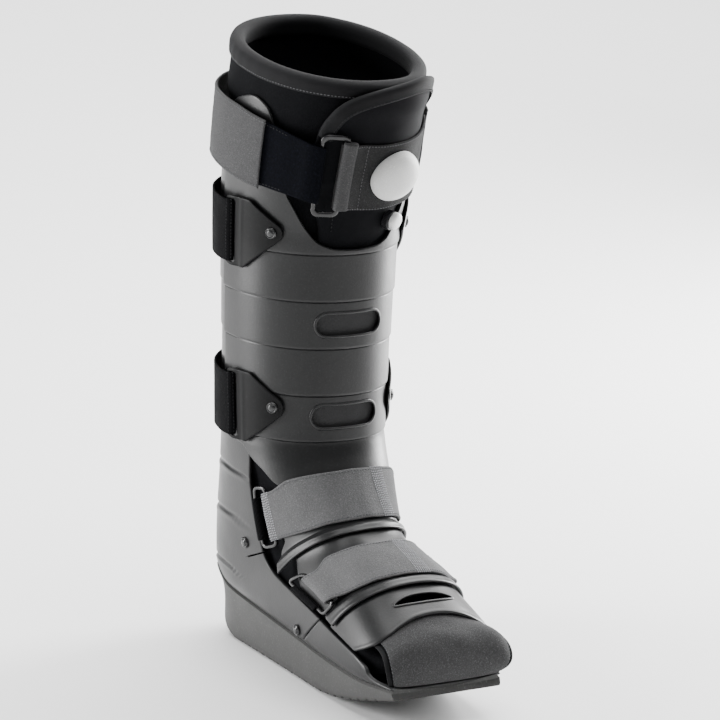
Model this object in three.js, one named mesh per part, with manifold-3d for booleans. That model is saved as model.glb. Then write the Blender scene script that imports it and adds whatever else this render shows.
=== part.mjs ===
import * as THREE from 'three';
import { mergeVertices } from 'three/addons/utils/BufferGeometryUtils.js';
import Module from 'manifold-3d';

// A tall medical walking boot, in millimetres. Toes point to -Y, +Z is up, X = 0 is the middle plane,
// and Z = 0 is the flat of the sole that stands on the floor. The right side is at -X.

// Overall sizes
const bootLength = 292;
const bootHeight = 471;
const bootWidth = 143;

// Walls
const shellWall = 3;
const frontWall = 2.7;
const plateWall = 2.4;
const linerWall = 6;
const flapWall = 3.4;
const coverWall = 4;
const webbing = 1.6;
const strapWall = 2;
const padWall = 2;
const bindingWall = 1.5;
const bracketWall = 1.8;

// Clearances
const gap = 0.4;
const threadGap = 0.5;
const flapGap = 0.8;
const plateLift = 0.85;

// Shell relief, windows and slits
const bandStep = 1;
const windowLength = 56;
const windowHeight = 18;
const slitWidth = 1.2;

// Brackets, rivets and rings
const bracketHeight = 56;
const bracketLength = 48;
const bracketTip = 8.5;
const bracketTipRise = 5;
const bracketSlotHeight = 51;
const bracketSlotWidth = 5;
const bracketBar = 3;
const calfStrapWidth = 49;
const rivetRadius = 4.4;
const rivetHeight = 2;
const ringWire = 1.4;

// Air pump and valve
const bulbRow = 2.26;
const bulbAngle = 16.5;
const bulbRadius = 20;
const bulbHeight = 12;
const valveRow = 3.36;
const valveAngle = 25;
const valveRadius = 7.4;
const valveLength = 5.5;
const valveRidge = 0.7;
const capRadius = 6.4;
const capLength = 4.5;

// Collar binding and sole
const collarBindingWidth = 10;
const flapBindingWidth = 8;
const soleLedge = 2.2;
const treadPitch = 11;
const treadWidth = 3;
const treadDepth = 2;
const heelRoundStart = bootLength * 0.315;
const heelRoundEnd = bootLength * 0.459;

// Toe cover: how far it stands out past the toe, and the angle of its side edges
const coverReach = 0.038;
const coverSide = 54;

const degree = Math.PI / 180;

// Sections of the boot's body from the collar (row 0) down the shaft, round the heel and along the foot to
// the toe (row 17). Each is an oval between a front and a back point in the middle plane. Lengths are shares:
// Y of bootLength, Z of bootHeight, halfWidth of bootWidth. middle is where the widest line lies from back
// to front, and the powers make the front and back halves rounder (2) or squarer (4 and more).
const sectionColumns = [
  'frontY', 'frontZ', 'backY', 'backZ', 'halfWidth', 'middle', 'frontPower', 'backPower',
];
const sections = [
  [-0.0753, 0.9490, 0.4452, 1.0000, 0.5000, 0.50, 2.10, 2.10],
  [-0.0428, 0.8875, 0.4658, 0.9214, 0.5000, 0.50, 2.10, 2.10],
  [-0.0068, 0.8174, 0.4863, 0.8365, 0.4860, 0.50, 2.10, 2.10],
  [0.0205, 0.7473, 0.5000, 0.7558, 0.4650, 0.50, 2.10, 2.10],
  [0.0394, 0.6709, 0.5051, 0.6709, 0.4420, 0.50, 2.10, 2.10],
  [0.0428, 0.5945, 0.4983, 0.5945, 0.4322, 0.50, 2.10, 2.10],
  [0.0445, 0.5180, 0.4897, 0.5180, 0.4210, 0.50, 2.10, 2.10],
  [0.0445, 0.4416, 0.4829, 0.4416, 0.4091, 0.50, 2.15, 2.10],
  [0.0411, 0.3673, 0.4777, 0.3652, 0.3986, 0.50, 2.20, 2.15],
  [0.0068, 0.3185, 0.4812, 0.2760, 0.3916, 0.50, 2.30, 2.30],
  [-0.0377, 0.2803, 0.4829, 0.1868, 0.3776, 0.47, 2.40, 2.60],
  [-0.0890, 0.2484, 0.4726, 0.1062, 0.3566, 0.42, 2.50, 3.00],
  [-0.1370, 0.2314, 0.3836, 0.0701, 0.3427, 0.36, 2.60, 3.60],
  [-0.1986, 0.2197, 0.2123, 0.0658, 0.3497, 0.33, 2.60, 4.20],
  [-0.2671, 0.2038, 0.0000, 0.0594, 0.3566, 0.32, 2.60, 4.50],
  [-0.3356, 0.1847, -0.1712, 0.0541, 0.3706, 0.32, 2.50, 4.50],
  [-0.4178, 0.1614, -0.3253, 0.0531, 0.3776, 0.32, 2.40, 4.50],
  [-0.4966, 0.1316, -0.4966, 0.0616, 0.3497, 0.34, 2.30, 4.50],
].map((values) => Object.fromEntries(values.map((value, i) => [sectionColumns[i], value])));
const lastRow = sections.length - 1;

// The rocker of the sole in the middle plane: row, then Y and Z as shares of bootLength and bootHeight.
const rocker = [
  [11.25, 0.4555, 0.0870],
  [11.60, 0.4310, 0.0560],
  [12.00, 0.3870, 0.0240],
  [12.40, 0.3360, 0.0075],
  [12.75, 0.2830, 0.0000],
  [13.00, 0.2123, 0.0000],
  [14.00, 0.0000, 0.0000],
  [14.75, -0.1370, 0.0000],
  [15.25, -0.2140, 0.0045],
  [16.00, -0.3253, 0.0190],
  [16.50, -0.4140, 0.0345],
  [17.00, -0.5060, 0.0520],
];

// Edges in row numbers and degrees from the front (0) round to the back (180), the same on both sides
const frontShellTop = [
  [0, 3.90], [12, 3.88], [24, 3.76], [34, 3.45], [43, 3.00], [48, 2.72], [52, 2.25], [57, 1.65], [62, 1.18],
  [68, 0.87], [78, 0.74], [88, 0.87], [95, 1.09], [98, 1.25],
];
const frontShellBottom = [[0, 9.55], [45, 9.50], [57, 9.22], [64, 8.90], [73, 8.60], [80, 8.32], [98, 8.18]];
const shellSideEdge = [
  [1.5, 74], [8.2, 75], [8.6, 77], [9.3, 80], [10.0, 79.5], [11.0, 78], [11.4, 78.5], [12.3, 80], [13.0, 81],
  [14.2, 82.5], [15.0, 83], [15.9, 84], [16.35, 89], [16.7, 105], [17, 118],
];
const instepSideEdge = [[9.85, 58], [11.1, 60], [11.4, 66], [12.5, 75]];
const instepTip = [[0, 11.26], [17, 11.32], [32, 11.47], [54, 11.88], [75, 12.5]];
const midfootTip = [[0, 14.78], [30, 14.84], [60, 14.90], [78, 14.98]];
const toePlateTip = [
  [0, 16.00], [12, 16.05], [25, 16.16], [40, 16.28], [54, 16.30], [66, 16.18], [78, 15.95],
];
const flapLeftEdge = [
  [-0.15, 18], [0, 2], [0.18, -13], [0.43, -23], [0.81, -30], [1.23, -34], [2, -35], [3, -30], [3.4, -26],
  [4.3, -24],
];
const flapRightEdge = [
  [-0.15, 78], [0.6, 78], [0.8, 62], [1.18, 58], [1.65, 54], [2.25, 49], [2.7, 45], [3, 41], [3.45, 37],
  [3.75, 35], [4.3, 34],
];

// Straps: degrees, upper row and lower row
const topGreyEdges = [
  [-64, 1.13, 2.68], [-88, 1.00, 2.53], [-107, 0.98, 2.42], [-180, 0.98, 2.40], [-253, 0.98, 2.42],
  [-272, 1.00, 2.53], [-296, 1.13, 2.68],
];
const topBlackEdges = [[-95, 1.05, 2.52], [-64, 1.18, 2.62], [-40, 1.40, 2.74], [-26, 1.53, 2.86]];
const padEdges = [[-22, 1.38, 2.93], [9, 1.48, 3.04], [40, 1.42, 2.98], [66, 1.2, 2.72]];
const ankleEdges = [
  [0, 8.83, 10.67], [24, 8.92, 10.73], [45, 9.10, 10.90], [60, 9.46, 10.98], [72, 9.62, 11.02],
];
const forefootEdges = [
  [0, 12.15, 14.25], [20, 12.22, 14.27], [40, 12.45, 14.30], [54, 13.00, 14.28], [64, 13.12, 14.26],
];

// Curves through tables

function clamp(value, low, high) {
  return Math.min(Math.max(value, low), high);
}

function smoothstep(low, high, value) {
  const t = clamp((value - low) / (high - low), 0, 1);
  return t * t * (3 - 2 * t);
}

function mix(a, b, t) {
  return a + (b - a) * t;
}

// Linear interpolation in a table whose first column rises
function look(table, value, column = 1) {
  let i = 0;
  while (i < table.length - 2 && value > table[i + 1][0]) {
    i += 1;
  }
  const t = clamp((value - table[i][0]) / (table[i + 1][0] - table[i][0]), 0, 1);
  return mix(table[i][column], table[i + 1][column], t);
}

// Slope at each section, from its neighbours' harmonic mean, so that the surface never overshoots
function slopesOf(name) {
  const steps = sections.slice(1).map((section, i) => section[name] - sections[i][name]);
  return sections.map((_, i) => {
    if (i === 0) {
      return steps[0];
    }
    if (i === lastRow) {
      return steps[lastRow - 1];
    }
    const product = steps[i - 1] * steps[i];
    return product <= 0 ? 0 : (2 * product) / (steps[i - 1] + steps[i]);
  });
}
const slopes = Object.fromEntries(sectionColumns.map((name) => [name, slopesOf(name)]));

function sectionValue(name, row) {
  const at = clamp(row, 0, lastRow);
  const i = Math.min(Math.floor(at), lastRow - 1);
  const t = at - i;
  const start = sections[i][name];
  const end = sections[i + 1][name];
  const startSlope = slopes[name][i];
  const endSlope = slopes[name][i + 1];
  const a = 2 * start - 2 * end + startSlope + endSlope;
  const b = 3 * end - 3 * start - 2 * startSlope - endSlope;
  return ((a * t + b) * t + startSlope) * t + start;
}

// A point of the body at a row and an angle, moved out of the surface by offset
function bodyPoint(row, angle, offset = 0) {
  const frontY = sectionValue('frontY', row) * bootLength;
  const frontZ = sectionValue('frontZ', row) * bootHeight;
  const backY = sectionValue('backY', row) * bootLength;
  const backZ = sectionValue('backZ', row) * bootHeight;
  const depth = Math.hypot(frontY - backY, frontZ - backZ);
  const toFrontY = (frontY - backY) / depth;
  const toFrontZ = (frontZ - backZ) / depth;
  const halfWidth = sectionValue('halfWidth', row) * bootWidth + offset;
  const middle = sectionValue('middle', row);
  const span = depth + 2 * offset;
  const across = Math.sin(angle * degree);
  const along = Math.cos(angle * degree);
  const power = sectionValue(along >= 0 ? 'frontPower' : 'backPower', row);
  const reach = (along >= 0 ? 1 - middle : middle) * span * Math.sign(along) * Math.abs(along) ** (2 / power);
  const from = middle * span - offset + reach;
  // Above the collar and past the toe the body runs straight on
  const above = Math.max(-row, 0) * bootHeight * 0.07;
  const past = Math.max(row - lastRow, 0) * bootLength * 0.08;
  return new THREE.Vector3(
    halfWidth * Math.sign(across) * Math.abs(across) ** (2 / power),
    backY + toFrontY * from - past,
    backZ + toFrontZ * from + above,
  );
}

function rowDirection(row, angle, offset) {
  const step = 0.02;
  const ahead = bodyPoint(clamp(row + step, 0, lastRow), angle, offset);
  return ahead.sub(bodyPoint(clamp(row - step, 0, lastRow), angle, offset));
}

function outward(row, angle, offset = 0) {
  const round = bodyPoint(row, angle + 1, offset).sub(bodyPoint(row, angle - 1, offset));
  const normal = rowDirection(row, angle, offset).cross(round).normalize();
  const roughly = bodyPoint(row, angle, 1).sub(bodyPoint(row, angle, -1));
  return normal.dot(roughly) < 0 ? normal.negate() : normal;
}

// Millimetres for each row and each degree at a place, so that rigid pieces keep their real size
function rowPitch(row, angle) {
  return rowDirection(row, angle, 0).length() / 0.04;
}

function degreePitch(row, angle) {
  return bodyPoint(row, angle + 1).distanceTo(bodyPoint(row, angle - 1)) / 2;
}

// Millimetres for each degree, measured square to a bar that runs along the rows
function barPitch(row, angle) {
  const along = rowDirection(row, angle, 0).normalize();
  const across = bodyPoint(row, angle + 1).sub(bodyPoint(row, angle - 1));
  return across.addScaledVector(along, -across.dot(along)).length() / 2;
}

// Closed meshes from grids of points

function meshFrom(points, faces) {
  const geometry = new THREE.BufferGeometry();
  const numbers = points.flatMap((p) => [p.x, p.y, p.z]);
  geometry.setAttribute('position', new THREE.Float32BufferAttribute(numbers, 3));
  let volume = 0;
  for (const [a, b, c] of faces) {
    volume += points[a].dot(points[b].clone().cross(points[c]));
  }
  geometry.setIndex(faces.flatMap(([a, b, c]) => (volume < 0 ? [a, c, b] : [a, b, c])));
  return geometry;
}

// Joins two lines of point numbers with triangles; lines of different counts advance by the shorter diagonal
function bridge(points, faces, first, second, closed) {
  const firstCount = closed ? first.length : first.length - 1;
  const secondCount = closed ? second.length : second.length - 1;
  const even = firstCount === secondCount;
  let i = 0;
  let j = 0;
  while (i < firstCount || j < secondCount) {
    const a = first[i % first.length];
    const b = second[j % second.length];
    const nextA = first[(i + 1) % first.length];
    const nextB = second[(j + 1) % second.length];
    const shorter = points[nextA].distanceTo(points[b]) <= points[nextB].distanceTo(points[a]);
    if (even) {
      faces.push([a, nextA, nextB], [a, nextB, b]);
      i += 1;
      j += 1;
    } else if (j >= secondCount || (i < firstCount && shorter)) {
      faces.push([a, nextA, b]);
      i += 1;
    } else {
      faces.push([a, nextB, b]);
      j += 1;
    }
  }
}

// A wall between two faces, each a grid [row][column] of points with the same columns
function wall(faceGrid, backGrid) {
  const points = [...faceGrid.flat(), ...backGrid.flat()];
  const columnCount = faceGrid[0].length;
  const grids = [faceGrid, backGrid];
  const at = (face, row, column) => (face * faceGrid.length + row) * columnCount + column;
  const line = (face, row) => grids[face][0].map((_, column) => at(face, row, column));
  const side = (face, column) => grids[face].map((_, row) => at(face, row, column));
  const faces = [];
  for (let row = 0; row < faceGrid.length - 1; row += 1) {
    bridge(points, faces, line(0, row), line(0, row + 1), false);
  }
  for (let row = 0; row < backGrid.length - 1; row += 1) {
    bridge(points, faces, line(1, row + 1), line(1, row), false);
  }
  bridge(points, faces, line(1, 0), line(0, 0), false);
  bridge(points, faces, line(0, faceGrid.length - 1), line(1, backGrid.length - 1), false);
  bridge(points, faces, side(0, 0), side(1, 0), false);
  bridge(points, faces, side(1, columnCount - 1), side(0, columnCount - 1), false);
  return meshFrom(points, faces);
}

// A wall over the body: places are rows and angles, inner and outer the two offsets
function bodyWall(places, inner, outer, innerPlaces = places) {
  const face = (lines, offset) => lines.map((line) => line.map(([row, angle]) => (
    bodyPoint(row, angle, offset(row, angle)))));
  return wall(face(places, outer), face(innerPlaces, inner));
}

// Rings of points joined into a tube; the ends are closed by a fan to a middle point, or to each other
function tube(rings, looped) {
  const points = rings.flat();
  const starts = rings.map((_, i) => rings.slice(0, i).reduce((sum, ring) => sum + ring.length, 0));
  const ring = (i) => rings[i].map((_, j) => starts[i] + j);
  const faces = [];
  for (let i = 0; i < rings.length - 1; i += 1) {
    bridge(points, faces, ring(i), ring(i + 1), true);
  }
  if (looped) {
    bridge(points, faces, ring(rings.length - 1), ring(0), true);
  } else {
    for (const [end, turn] of [[0, true], [rings.length - 1, false]]) {
      const middle = new THREE.Vector3();
      rings[end].forEach((p) => middle.addScaledVector(p, 1 / rings[end].length));
      points.push(middle);
      ring(end).forEach((a, j, all) => {
        const b = all[(j + 1) % all.length];
        faces.push(turn ? [points.length - 1, b, a] : [points.length - 1, a, b]);
      });
    }
  }
  return meshFrom(points, faces);
}

// A round wire along a closed route of [row, degrees, offset]
function wireLoop(route, radius) {
  const sides = 6;
  const points = route.map((place) => bodyPoint(...place));
  const count = points.length;
  const rings = points.map((point, i) => {
    const along = points[(i + 1) % count].clone().sub(points[(i + count - 1) % count]).normalize();
    const normal = outward(...route[i]);
    const up = normal.addScaledVector(along, -normal.dot(along)).normalize();
    const side = along.clone().cross(up);
    return Array.from({ length: sides }, (_, j) => {
      const turn = (j / sides) * Math.PI * 2;
      return point.clone()
        .addScaledVector(up, Math.cos(turn) * radius)
        .addScaledVector(side, Math.sin(turn) * radius);
    });
  });
  return tube(rings, true);
}

// A four-sided loop with bent corners: two bars at their own degrees and offsets between two rows
function ringLoop(firstBar, secondBar, upperRow, lowerRow) {
  const [firstAngle, firstOffset] = firstBar;
  const [secondAngle, secondOffset] = secondBar;
  const at = (row, share) => [
    row, mix(firstAngle, secondAngle, share), mix(firstOffset, secondOffset, share),
  ];
  const bend = 2 / rowPitch((upperRow + lowerRow) / 2, firstAngle);
  const turn = Math.min(2 / degreePitch(upperRow, firstAngle) / Math.abs(secondAngle - firstAngle), 0.4);
  const middle = (upperRow + lowerRow) / 2;
  return wireLoop([
    at(upperRow + bend, 0), at(middle, 0), at(lowerRow - bend, 0), at(lowerRow, turn), at(lowerRow, 1 - turn),
    at(lowerRow - bend, 1), at(middle, 1), at(upperRow + bend, 1), at(upperRow, 1 - turn), at(upperRow, turn),
  ], ringWire);
}

// A strap: a path of [degrees, offset] across the body with a thickness, between an upper and a lower row
function ribbon(path, thickness, rowsAt, lines = 3) {
  const grid = Array.from({ length: lines }, (_, k) => path.map(([angle, offset]) => {
    const [upper, lower] = rowsAt(angle);
    return bodyPoint(mix(upper, lower, k / (lines - 1)), angle, offset);
  }));
  const shifted = (side) => grid.map((line, k) => line.map((point, i) => {
    const along = line[Math.min(i + 1, line.length - 1)].clone().sub(line[Math.max(i - 1, 0)]);
    const across = grid[Math.min(k + 1, lines - 1)][i].clone().sub(grid[Math.max(k - 1, 0)][i]);
    const normal = along.cross(across).normalize();
    return point.clone().addScaledVector(normal, side * thickness / 2);
  }));
  return wall(shifted(1), shifted(-1));
}

// Joins and cuts

const wasm = await Module();
wasm.setup();

function toSolid(geometry) {
  const bare = geometry.clone();
  bare.deleteAttribute('normal');
  bare.deleteAttribute('uv');
  const merged = mergeVertices(bare, 1e-4);
  return new wasm.Manifold(new wasm.Mesh({
    numProp: 3,
    vertProperties: new Float32Array(merged.attributes.position.array),
    triVerts: new Uint32Array(merged.index.array),
  }));
}

function toGeometry(solid) {
  const mesh = solid.getMesh();
  const geometry = new THREE.BufferGeometry();
  geometry.setAttribute('position', new THREE.BufferAttribute(new Float32Array(mesh.vertProperties), 3));
  geometry.setIndex(new THREE.BufferAttribute(new Uint32Array(mesh.triVerts), 1));
  return geometry;
}

function cut(geometry, cutters) {
  return toGeometry(cutters.reduce((solid, cutter) => solid.subtract(toSolid(cutter)), toSolid(geometry)));
}

// The object's materials

function finish(name, color, roughness) {
  return new THREE.MeshStandardMaterial({ name, color, roughness, metalness: 0 });
}

const materials = {
  shell: finish('shell', 0x6f7072, 0.55),
  sole: finish('sole', 0x5b5c5c, 0.8),
  foam: finish('liner_cloth', 0x1d1e21, 0.95),
  binding: finish('binding_cloth', 0x2b2c2f, 0.9),
  greyStrap: finish('grey_strap', 0x6a6b6d, 0.95),
  blackStrap: finish('black_strap', 0x14161c, 0.9),
  bracket: finish('bracket', 0x4c4e50, 0.4),
  rivet: finish('rivet', 0x5d5e60, 0.35),
  ring: finish('ring', 0x3c3d3f, 0.4),
  bulb: finish('bulb', 0xd4d4d2, 0.6),
  valve: finish('valve', 0x161719, 0.5),
  cap: finish('valve_cap', 0xf0f0ee, 0.4),
};

const boot = new THREE.Group();

function place(name, geometry, material) {
  const mesh = new THREE.Mesh(geometry, material);
  mesh.name = name;
  boot.add(mesh);
  return mesh;
}

// Offsets of the layers from the body's surface

const frontInner = gap;
const frontOuter = gap + frontWall;

// The liner lies inside the rear shell, fills the front, and gives way under the flap and beside the foot
function linerOuter(row, angle) {
  const turn = Math.abs(((angle + 900) % 360) - 180);
  const inShell = smoothstep(0.9, 1.4, row) * (shellWall + gap);
  const beside = smoothstep(8.6, 9.4, row) * smoothstep(112, 100, turn) * webbing * 1.8;
  const behind = smoothstep(52, 72, turn) * (inShell + beside);
  const underFlap = smoothstep(2.3, 2.7, row) * smoothstep(4.9, 4.5, row) * smoothstep(50, 42, turn);
  const underPlates = smoothstep(9, 9.6, row) * smoothstep(76, 66, turn) * gap;
  const underCover = smoothstep(15, 15.5, row) * smoothstep(84, 68, turn) * (coverWall + gap);
  return -behind - underFlap * (flapWall + flapGap + gap) - underPlates - underCover;
}

function flapInner(row, angle) {
  return linerOuter(row, angle) + flapGap + smoothstep(1.1, 0.5, row) * (bindingWall + gap * 3);
}

const flapTop = 0;

// Each band of the shell stands out a little more towards its lower edge
function bandRise(row) {
  const within = row - Math.floor(row);
  return row > 3.5 && row <= 8 ? within * bandStep : 0;
}

// Angles from a list, mirrored to both sides
function bothSides(angles) {
  return [...angles.slice(1).reverse().map((a) => -a), ...angles];
}

// Rows and angles of the rear shell, which the liner in it and the sole under it share
const shellRows = [
  1.5, 2.3, 3.1, 3.999, 4, 4.999, 5, 5.999, 6, 6.999, 7, 7.999, 8, 8.6, 9.3, 10, 11, 11.4, 11.8, 12.15, 12.6,
  13, 14.2, 15, 15.9, 16.35, 16.7, 17,
];
const halfShares = [0, 0.07, 0.15, 0.24, 0.32, 0.38, 0.44, 0.5];
const shellShares = [...halfShares, ...halfShares.slice(0, -1).reverse().map((share) => 1 - share)];

// The inner faces need only one row at each step
function singleRow(row) {
  return Math.abs(row - Math.round(row)) < 1e-9 || Math.abs(row - Math.round(row)) > 0.01;
}

function shellLine(row) {
  const edge = look(shellSideEdge, row);
  return shellShares.map((share) => [row, -mix(edge, 360 - edge, share)]);
}

function rearShell() {
  const outer = (row) => bandRise(row) * 0.8 - (row < 8.1 ? bandStep * 0.8 : 0);
  const inner = () => -shellWall;
  const slit = (row, from, to) => [-1, 1].map((side) => {
    const half = slitWidth / 2 / rowPitch(row, side * from);
    const angles = [from, (from + to) / 2, to].map((angle) => side * angle);
    const cutPlaces = [row - half, row + half].map((at) => angles.map((angle) => [at, angle]));
    return bodyWall(cutPlaces, () => -shellWall * 2, () => shellWall);
  });
  const shell = bodyWall(shellRows.map(shellLine), inner, outer, shellRows.filter(singleRow).map(shellLine));
  return cut(shell, [...slit(11.36, 70, 88), ...slit(14.36, 74, 110)]);
}

function outsole() {
  const rows = rocker.map((line) => line[0]);
  const seatAngles = [127, 137, 150, 180, 210, 223, 233];
  const rings = rows.map((row) => {
    const bottomY = look(rocker, row, 1) * bootLength;
    const bottomZ = look(rocker, row, 2) * bootHeight;
    const seat = seatAngles.map((angle) => bodyPoint(row, angle, -shellWall / 2));
    const stepOut = mix(gap * 2, soleLedge, smoothstep(rows[0], rows[3], row));
    const ledge = [seatAngles[seatAngles.length - 1], seatAngles[0]].map((angle) => (
      bodyPoint(row, angle, stepOut)));
    const past = Math.max(bottomY - heelRoundStart, 0) / (heelRoundEnd - heelRoundStart);
    const tuck = 0.95 * Math.sqrt(1 - past ** 2);
    const bottom = [-tuck, -tuck / 2, 0, tuck / 2, tuck].map((share) => new THREE.Vector3(
      Math.abs(ledge[0].x) * share, bottomY, bottomZ));
    return [...seat, ledge[0], ...bottom, ledge[1]];
  });
  const block = tube(rings, false);
  const grooves = [];
  for (let y = treadPitch / 2; y < bootLength * 0.26; y += treadPitch) {
    grooves.push(y);
  }
  for (let y = -treadPitch / 2; y > -bootLength * 0.46; y -= treadPitch) {
    grooves.push(y);
  }
  const profile = [...rocker].reverse().map(([, y, z]) => [y * bootLength, z * bootHeight]);
  const foot = [...shellRows.filter((row) => row > 8), 17.3].map(shellLine);
  const seat = tube(foot.map((line) => [
    ...line.map(([row, angle]) => bodyPoint(row, angle, gap)),
    bodyPoint(line[0][0], 60, gap),
    bodyPoint(line[0][0], 0, gap),
    bodyPoint(line[0][0], -60, gap),
  ]), false);
  return cut(block, [seat, ...grooves.map((y) => {
    const z = look(profile, y);
    const slope = Math.atan2(look(profile, y + 1) - look(profile, y - 1), 2);
    const bar = new THREE.BoxGeometry(bootWidth, treadWidth, treadDepth * 2);
    bar.rotateX(slope);
    bar.translate(0, y, z);
    return bar;
  })]);
}

function frontShell() {
  const angles = bothSides(frontShellTop.map(([angle]) => angle).filter((angle) => angle !== 95));
  const bandRows = [3.999, 4, 4.999, 5, 5.999, 6, 6.999, 7, 7.999, 8];
  const topShares = [0, 0.3, 0.65];
  const bottomShares = [0.5, 1];
  const columns = angles.map((angle) => {
    const top = look(frontShellTop, Math.abs(angle));
    const bottom = look(frontShellBottom, Math.abs(angle));
    const upper = topShares.map((share) => mix(top, bandRows[0], share));
    const lower = bottomShares.map((share) => mix(8, bottom, share));
    return [...upper, ...bandRows, ...lower].map((row) => [row, angle]);
  });
  const places = columns[0].map((_, k) => columns.map((column) => column[k]));
  const innerPlaces = places.filter((line) => singleRow(line[0][0]) || !bandRows.includes(line[0][0]));
  const outer = (row) => frontOuter + bandRise(row) - (row < 8.1 ? bandStep * 0.4 : 0);
  const pill = new THREE.Shape();
  const radius = windowHeight / 2;
  const reach = windowLength / 2 - radius;
  pill.absarc(reach, 0, radius, -Math.PI / 2, Math.PI / 2, false);
  pill.absarc(-reach, 0, radius, Math.PI / 2, Math.PI * 1.5, false);
  const windows = [5.48, 7.42].map((row) => {
    const centre = bodyPoint(row, 0, frontOuter);
    const depth = windowLength / 2;
    const cutter = new THREE.ExtrudeGeometry(pill, { depth, bevelEnabled: false, curveSegments: 4 });
    cutter.rotateX(Math.PI / 2);
    cutter.translate(centre.x, centre.y + depth - frontWall * 2, centre.z);
    return cutter;
  });
  return cut(bodyWall(places, () => frontInner, outer, innerPlaces), windows);
}

// The plates over the foot overlap like shingles: each lifts over the next one just above its lower edge
function footPlate(sideEdge, topEdge, tipEdge, lift) {
  const shares = bothSides([0, 0.17, 0.34, 0.5, 0.66, 0.83, 1]);
  const liftRows = [0.55, 0.3];
  const lines = [0, 0.33, 0.66, 1].map((depth) => (top, tip) => mix(top, tip - liftRows[0], depth));
  lines.push((top, tip) => tip - liftRows[1], (top, tip) => tip);
  const places = lines.map((rowAt, k) => shares.map((share) => {
    const angle = share * sideEdge(k / (lines.length - 1));
    return [rowAt(topEdge(Math.abs(angle)), look(tipEdge, Math.abs(angle))), angle];
  }));
  const rise = (row, angle) => {
    const tip = look(tipEdge, Math.abs(angle));
    return smoothstep(tip - liftRows[0], tip - liftRows[1], row) * lift;
  };
  const inner = (row, angle) => gap + rise(row, angle);
  return bodyWall(places, inner, (row, angle) => inner(row, angle) + plateWall);
}

function instepPlate() {
  const sideEdge = (depth) => look(instepSideEdge, mix(9.85, 12.5, depth));
  return footPlate(sideEdge, () => 9.85, instepTip, plateWall + plateLift);
}

function midfootPlate() {
  const sideEdge = (depth) => mix(59, 74, smoothstep(0, 0.35, depth));
  return footPlate(sideEdge, (angle) => look(instepTip, angle) - 0.1, midfootTip, plateWall + plateLift);
}

function toePlate() {
  const plate = footPlate(() => 78, (angle) => look(midfootTip, angle) - 0.14, toePlateTip, 0);
  const slotAngles = [-21, -14, 0, 14, 21];
  const slotTop = slotAngles.map((angle) => [15.18 + 0.2 * (angle / 21) ** 2, angle]);
  const slotBottom = slotAngles.map((angle) => [15.52 + 0.03 * (1 - (angle / 21) ** 2), angle]);
  return cut(plate, [bodyWall([slotTop, slotBottom], () => -plateWall, () => plateWall * 3)]);
}

function linerLine(row) {
  const edge = look(shellSideEdge, row);
  const frontShares = [0.1, 0.22, 0.36, 0.5, 0.64, 0.78, 0.9];
  return [...shellLine(row), ...frontShares.map((share) => [row, mix(edge, -edge, share)])];
}

function liner() {
  const foot = shellRows.filter((row) => row >= 8 && row < 15.5);
  const rows = [0, 0.5, 0.9, 1.5, 2.3, 2.7, 3.1, 4, 4.5, 5, 6, 7, ...foot, 15.6, 15.9];
  const innerRows = [0.9, 1.6, 2.3, 2.9, 4.4, 5, 6.5, 8, 9.3, 10.5, 11.4, 12.15, 13, 14.2, 15, 15.9];
  const inner = (row, angle) => Math.min(linerOuter(row, angle), row > 1 ? -gap : 0) - linerWall;
  const ring = (row, offset, shrink = 1) => {
    const line = linerLine(row).map(([at, angle]) => bodyPoint(at, angle, offset(at, angle)));
    const middle = new THREE.Vector3();
    line.forEach((p) => middle.addScaledVector(p, 1 / line.length));
    return line.map((p) => middle.clone().lerp(p, shrink));
  };
  const half = (line) => line.filter((_, i) => i % 2 === 0);
  const rings = [
    ring(16.65, (row, angle) => linerOuter(row, angle) - linerWall / 2, 0.75),
    ring(16.4, (row, angle) => linerOuter(row, angle) - linerWall / 4, 0.95),
    ...rows.reverse().map((row) => ring(row, linerOuter)),
    ring(0, inner),
    ring(0.35, inner),
    ...innerRows.map((row) => half(ring(row, inner))),
    half(ring(16.15, inner, 0.9)),
    half(ring(16.3, inner, 0.6)),
  ];
  return tube(rings, false);
}

// A folded tape over the liner's rim
function collarBinding() {
  const down = collarBindingWidth / rowPitch(0.2, 90);
  const outer = gap + bindingWall;
  const inside = -linerWall - gap;
  const above = bindingWall / rowPitch(0.2, 90);
  const profile = [
    [down, gap], [down, outer], [-above, outer], [-above * 3, -linerWall / 2], [-above, inside - bindingWall],
    [down, inside - bindingWall], [down, inside], [-above / 3, inside], [-above / 3, gap],
  ];
  const line = linerLine(0).map(([, angle]) => angle);
  return tube(line.map((angle) => profile.map(([row, offset]) => bodyPoint(row, angle, offset))), true);
}

function linerFlap() {
  const rows = [-0.15, -0.07, 0, 0.1, 0.2, 0.5, 0.9, 1.3, 2.3, 2.7, 3.1, 3.5, 3.9, 4.3];
  const places = rows.map((row) => {
    const left = look(flapLeftEdge, row);
    const right = look(flapRightEdge, row);
    return [0, 0.125, 0.25, 0.375, 0.5, 0.625, 0.75, 0.875, 1].map((share) => [row, mix(left, right, share)]);
  });
  return bodyWall(places, flapInner, (row, angle) => flapInner(row, angle) + flapWall);
}

function flapBinding() {
  const rows = [0, 0.1, 0.2, 0.5, 0.9, 1.15];
  const grid = rows.map((row) => {
    const left = look(flapLeftEdge, row);
    const width = flapBindingWidth / degreePitch(row, left);
    const top = flapInner(row, left) + flapWall + gap * 2;
    const low = flapInner(row, left) + gap;
    const lip = gap / degreePitch(row, left);
    const thick = bindingWall / degreePitch(row, left);
    const profile = [
      [left + width, top], [left - lip, top], [left - lip, low], [left - lip - thick, low],
      [left - lip - thick, top + bindingWall * 0.6], [left - lip, top + bindingWall],
      [left + width, top + bindingWall],
    ];
    return profile.map(([angle, offset]) => bodyPoint(row, angle, offset));
  });
  return tube(grid, false);
}

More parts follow.
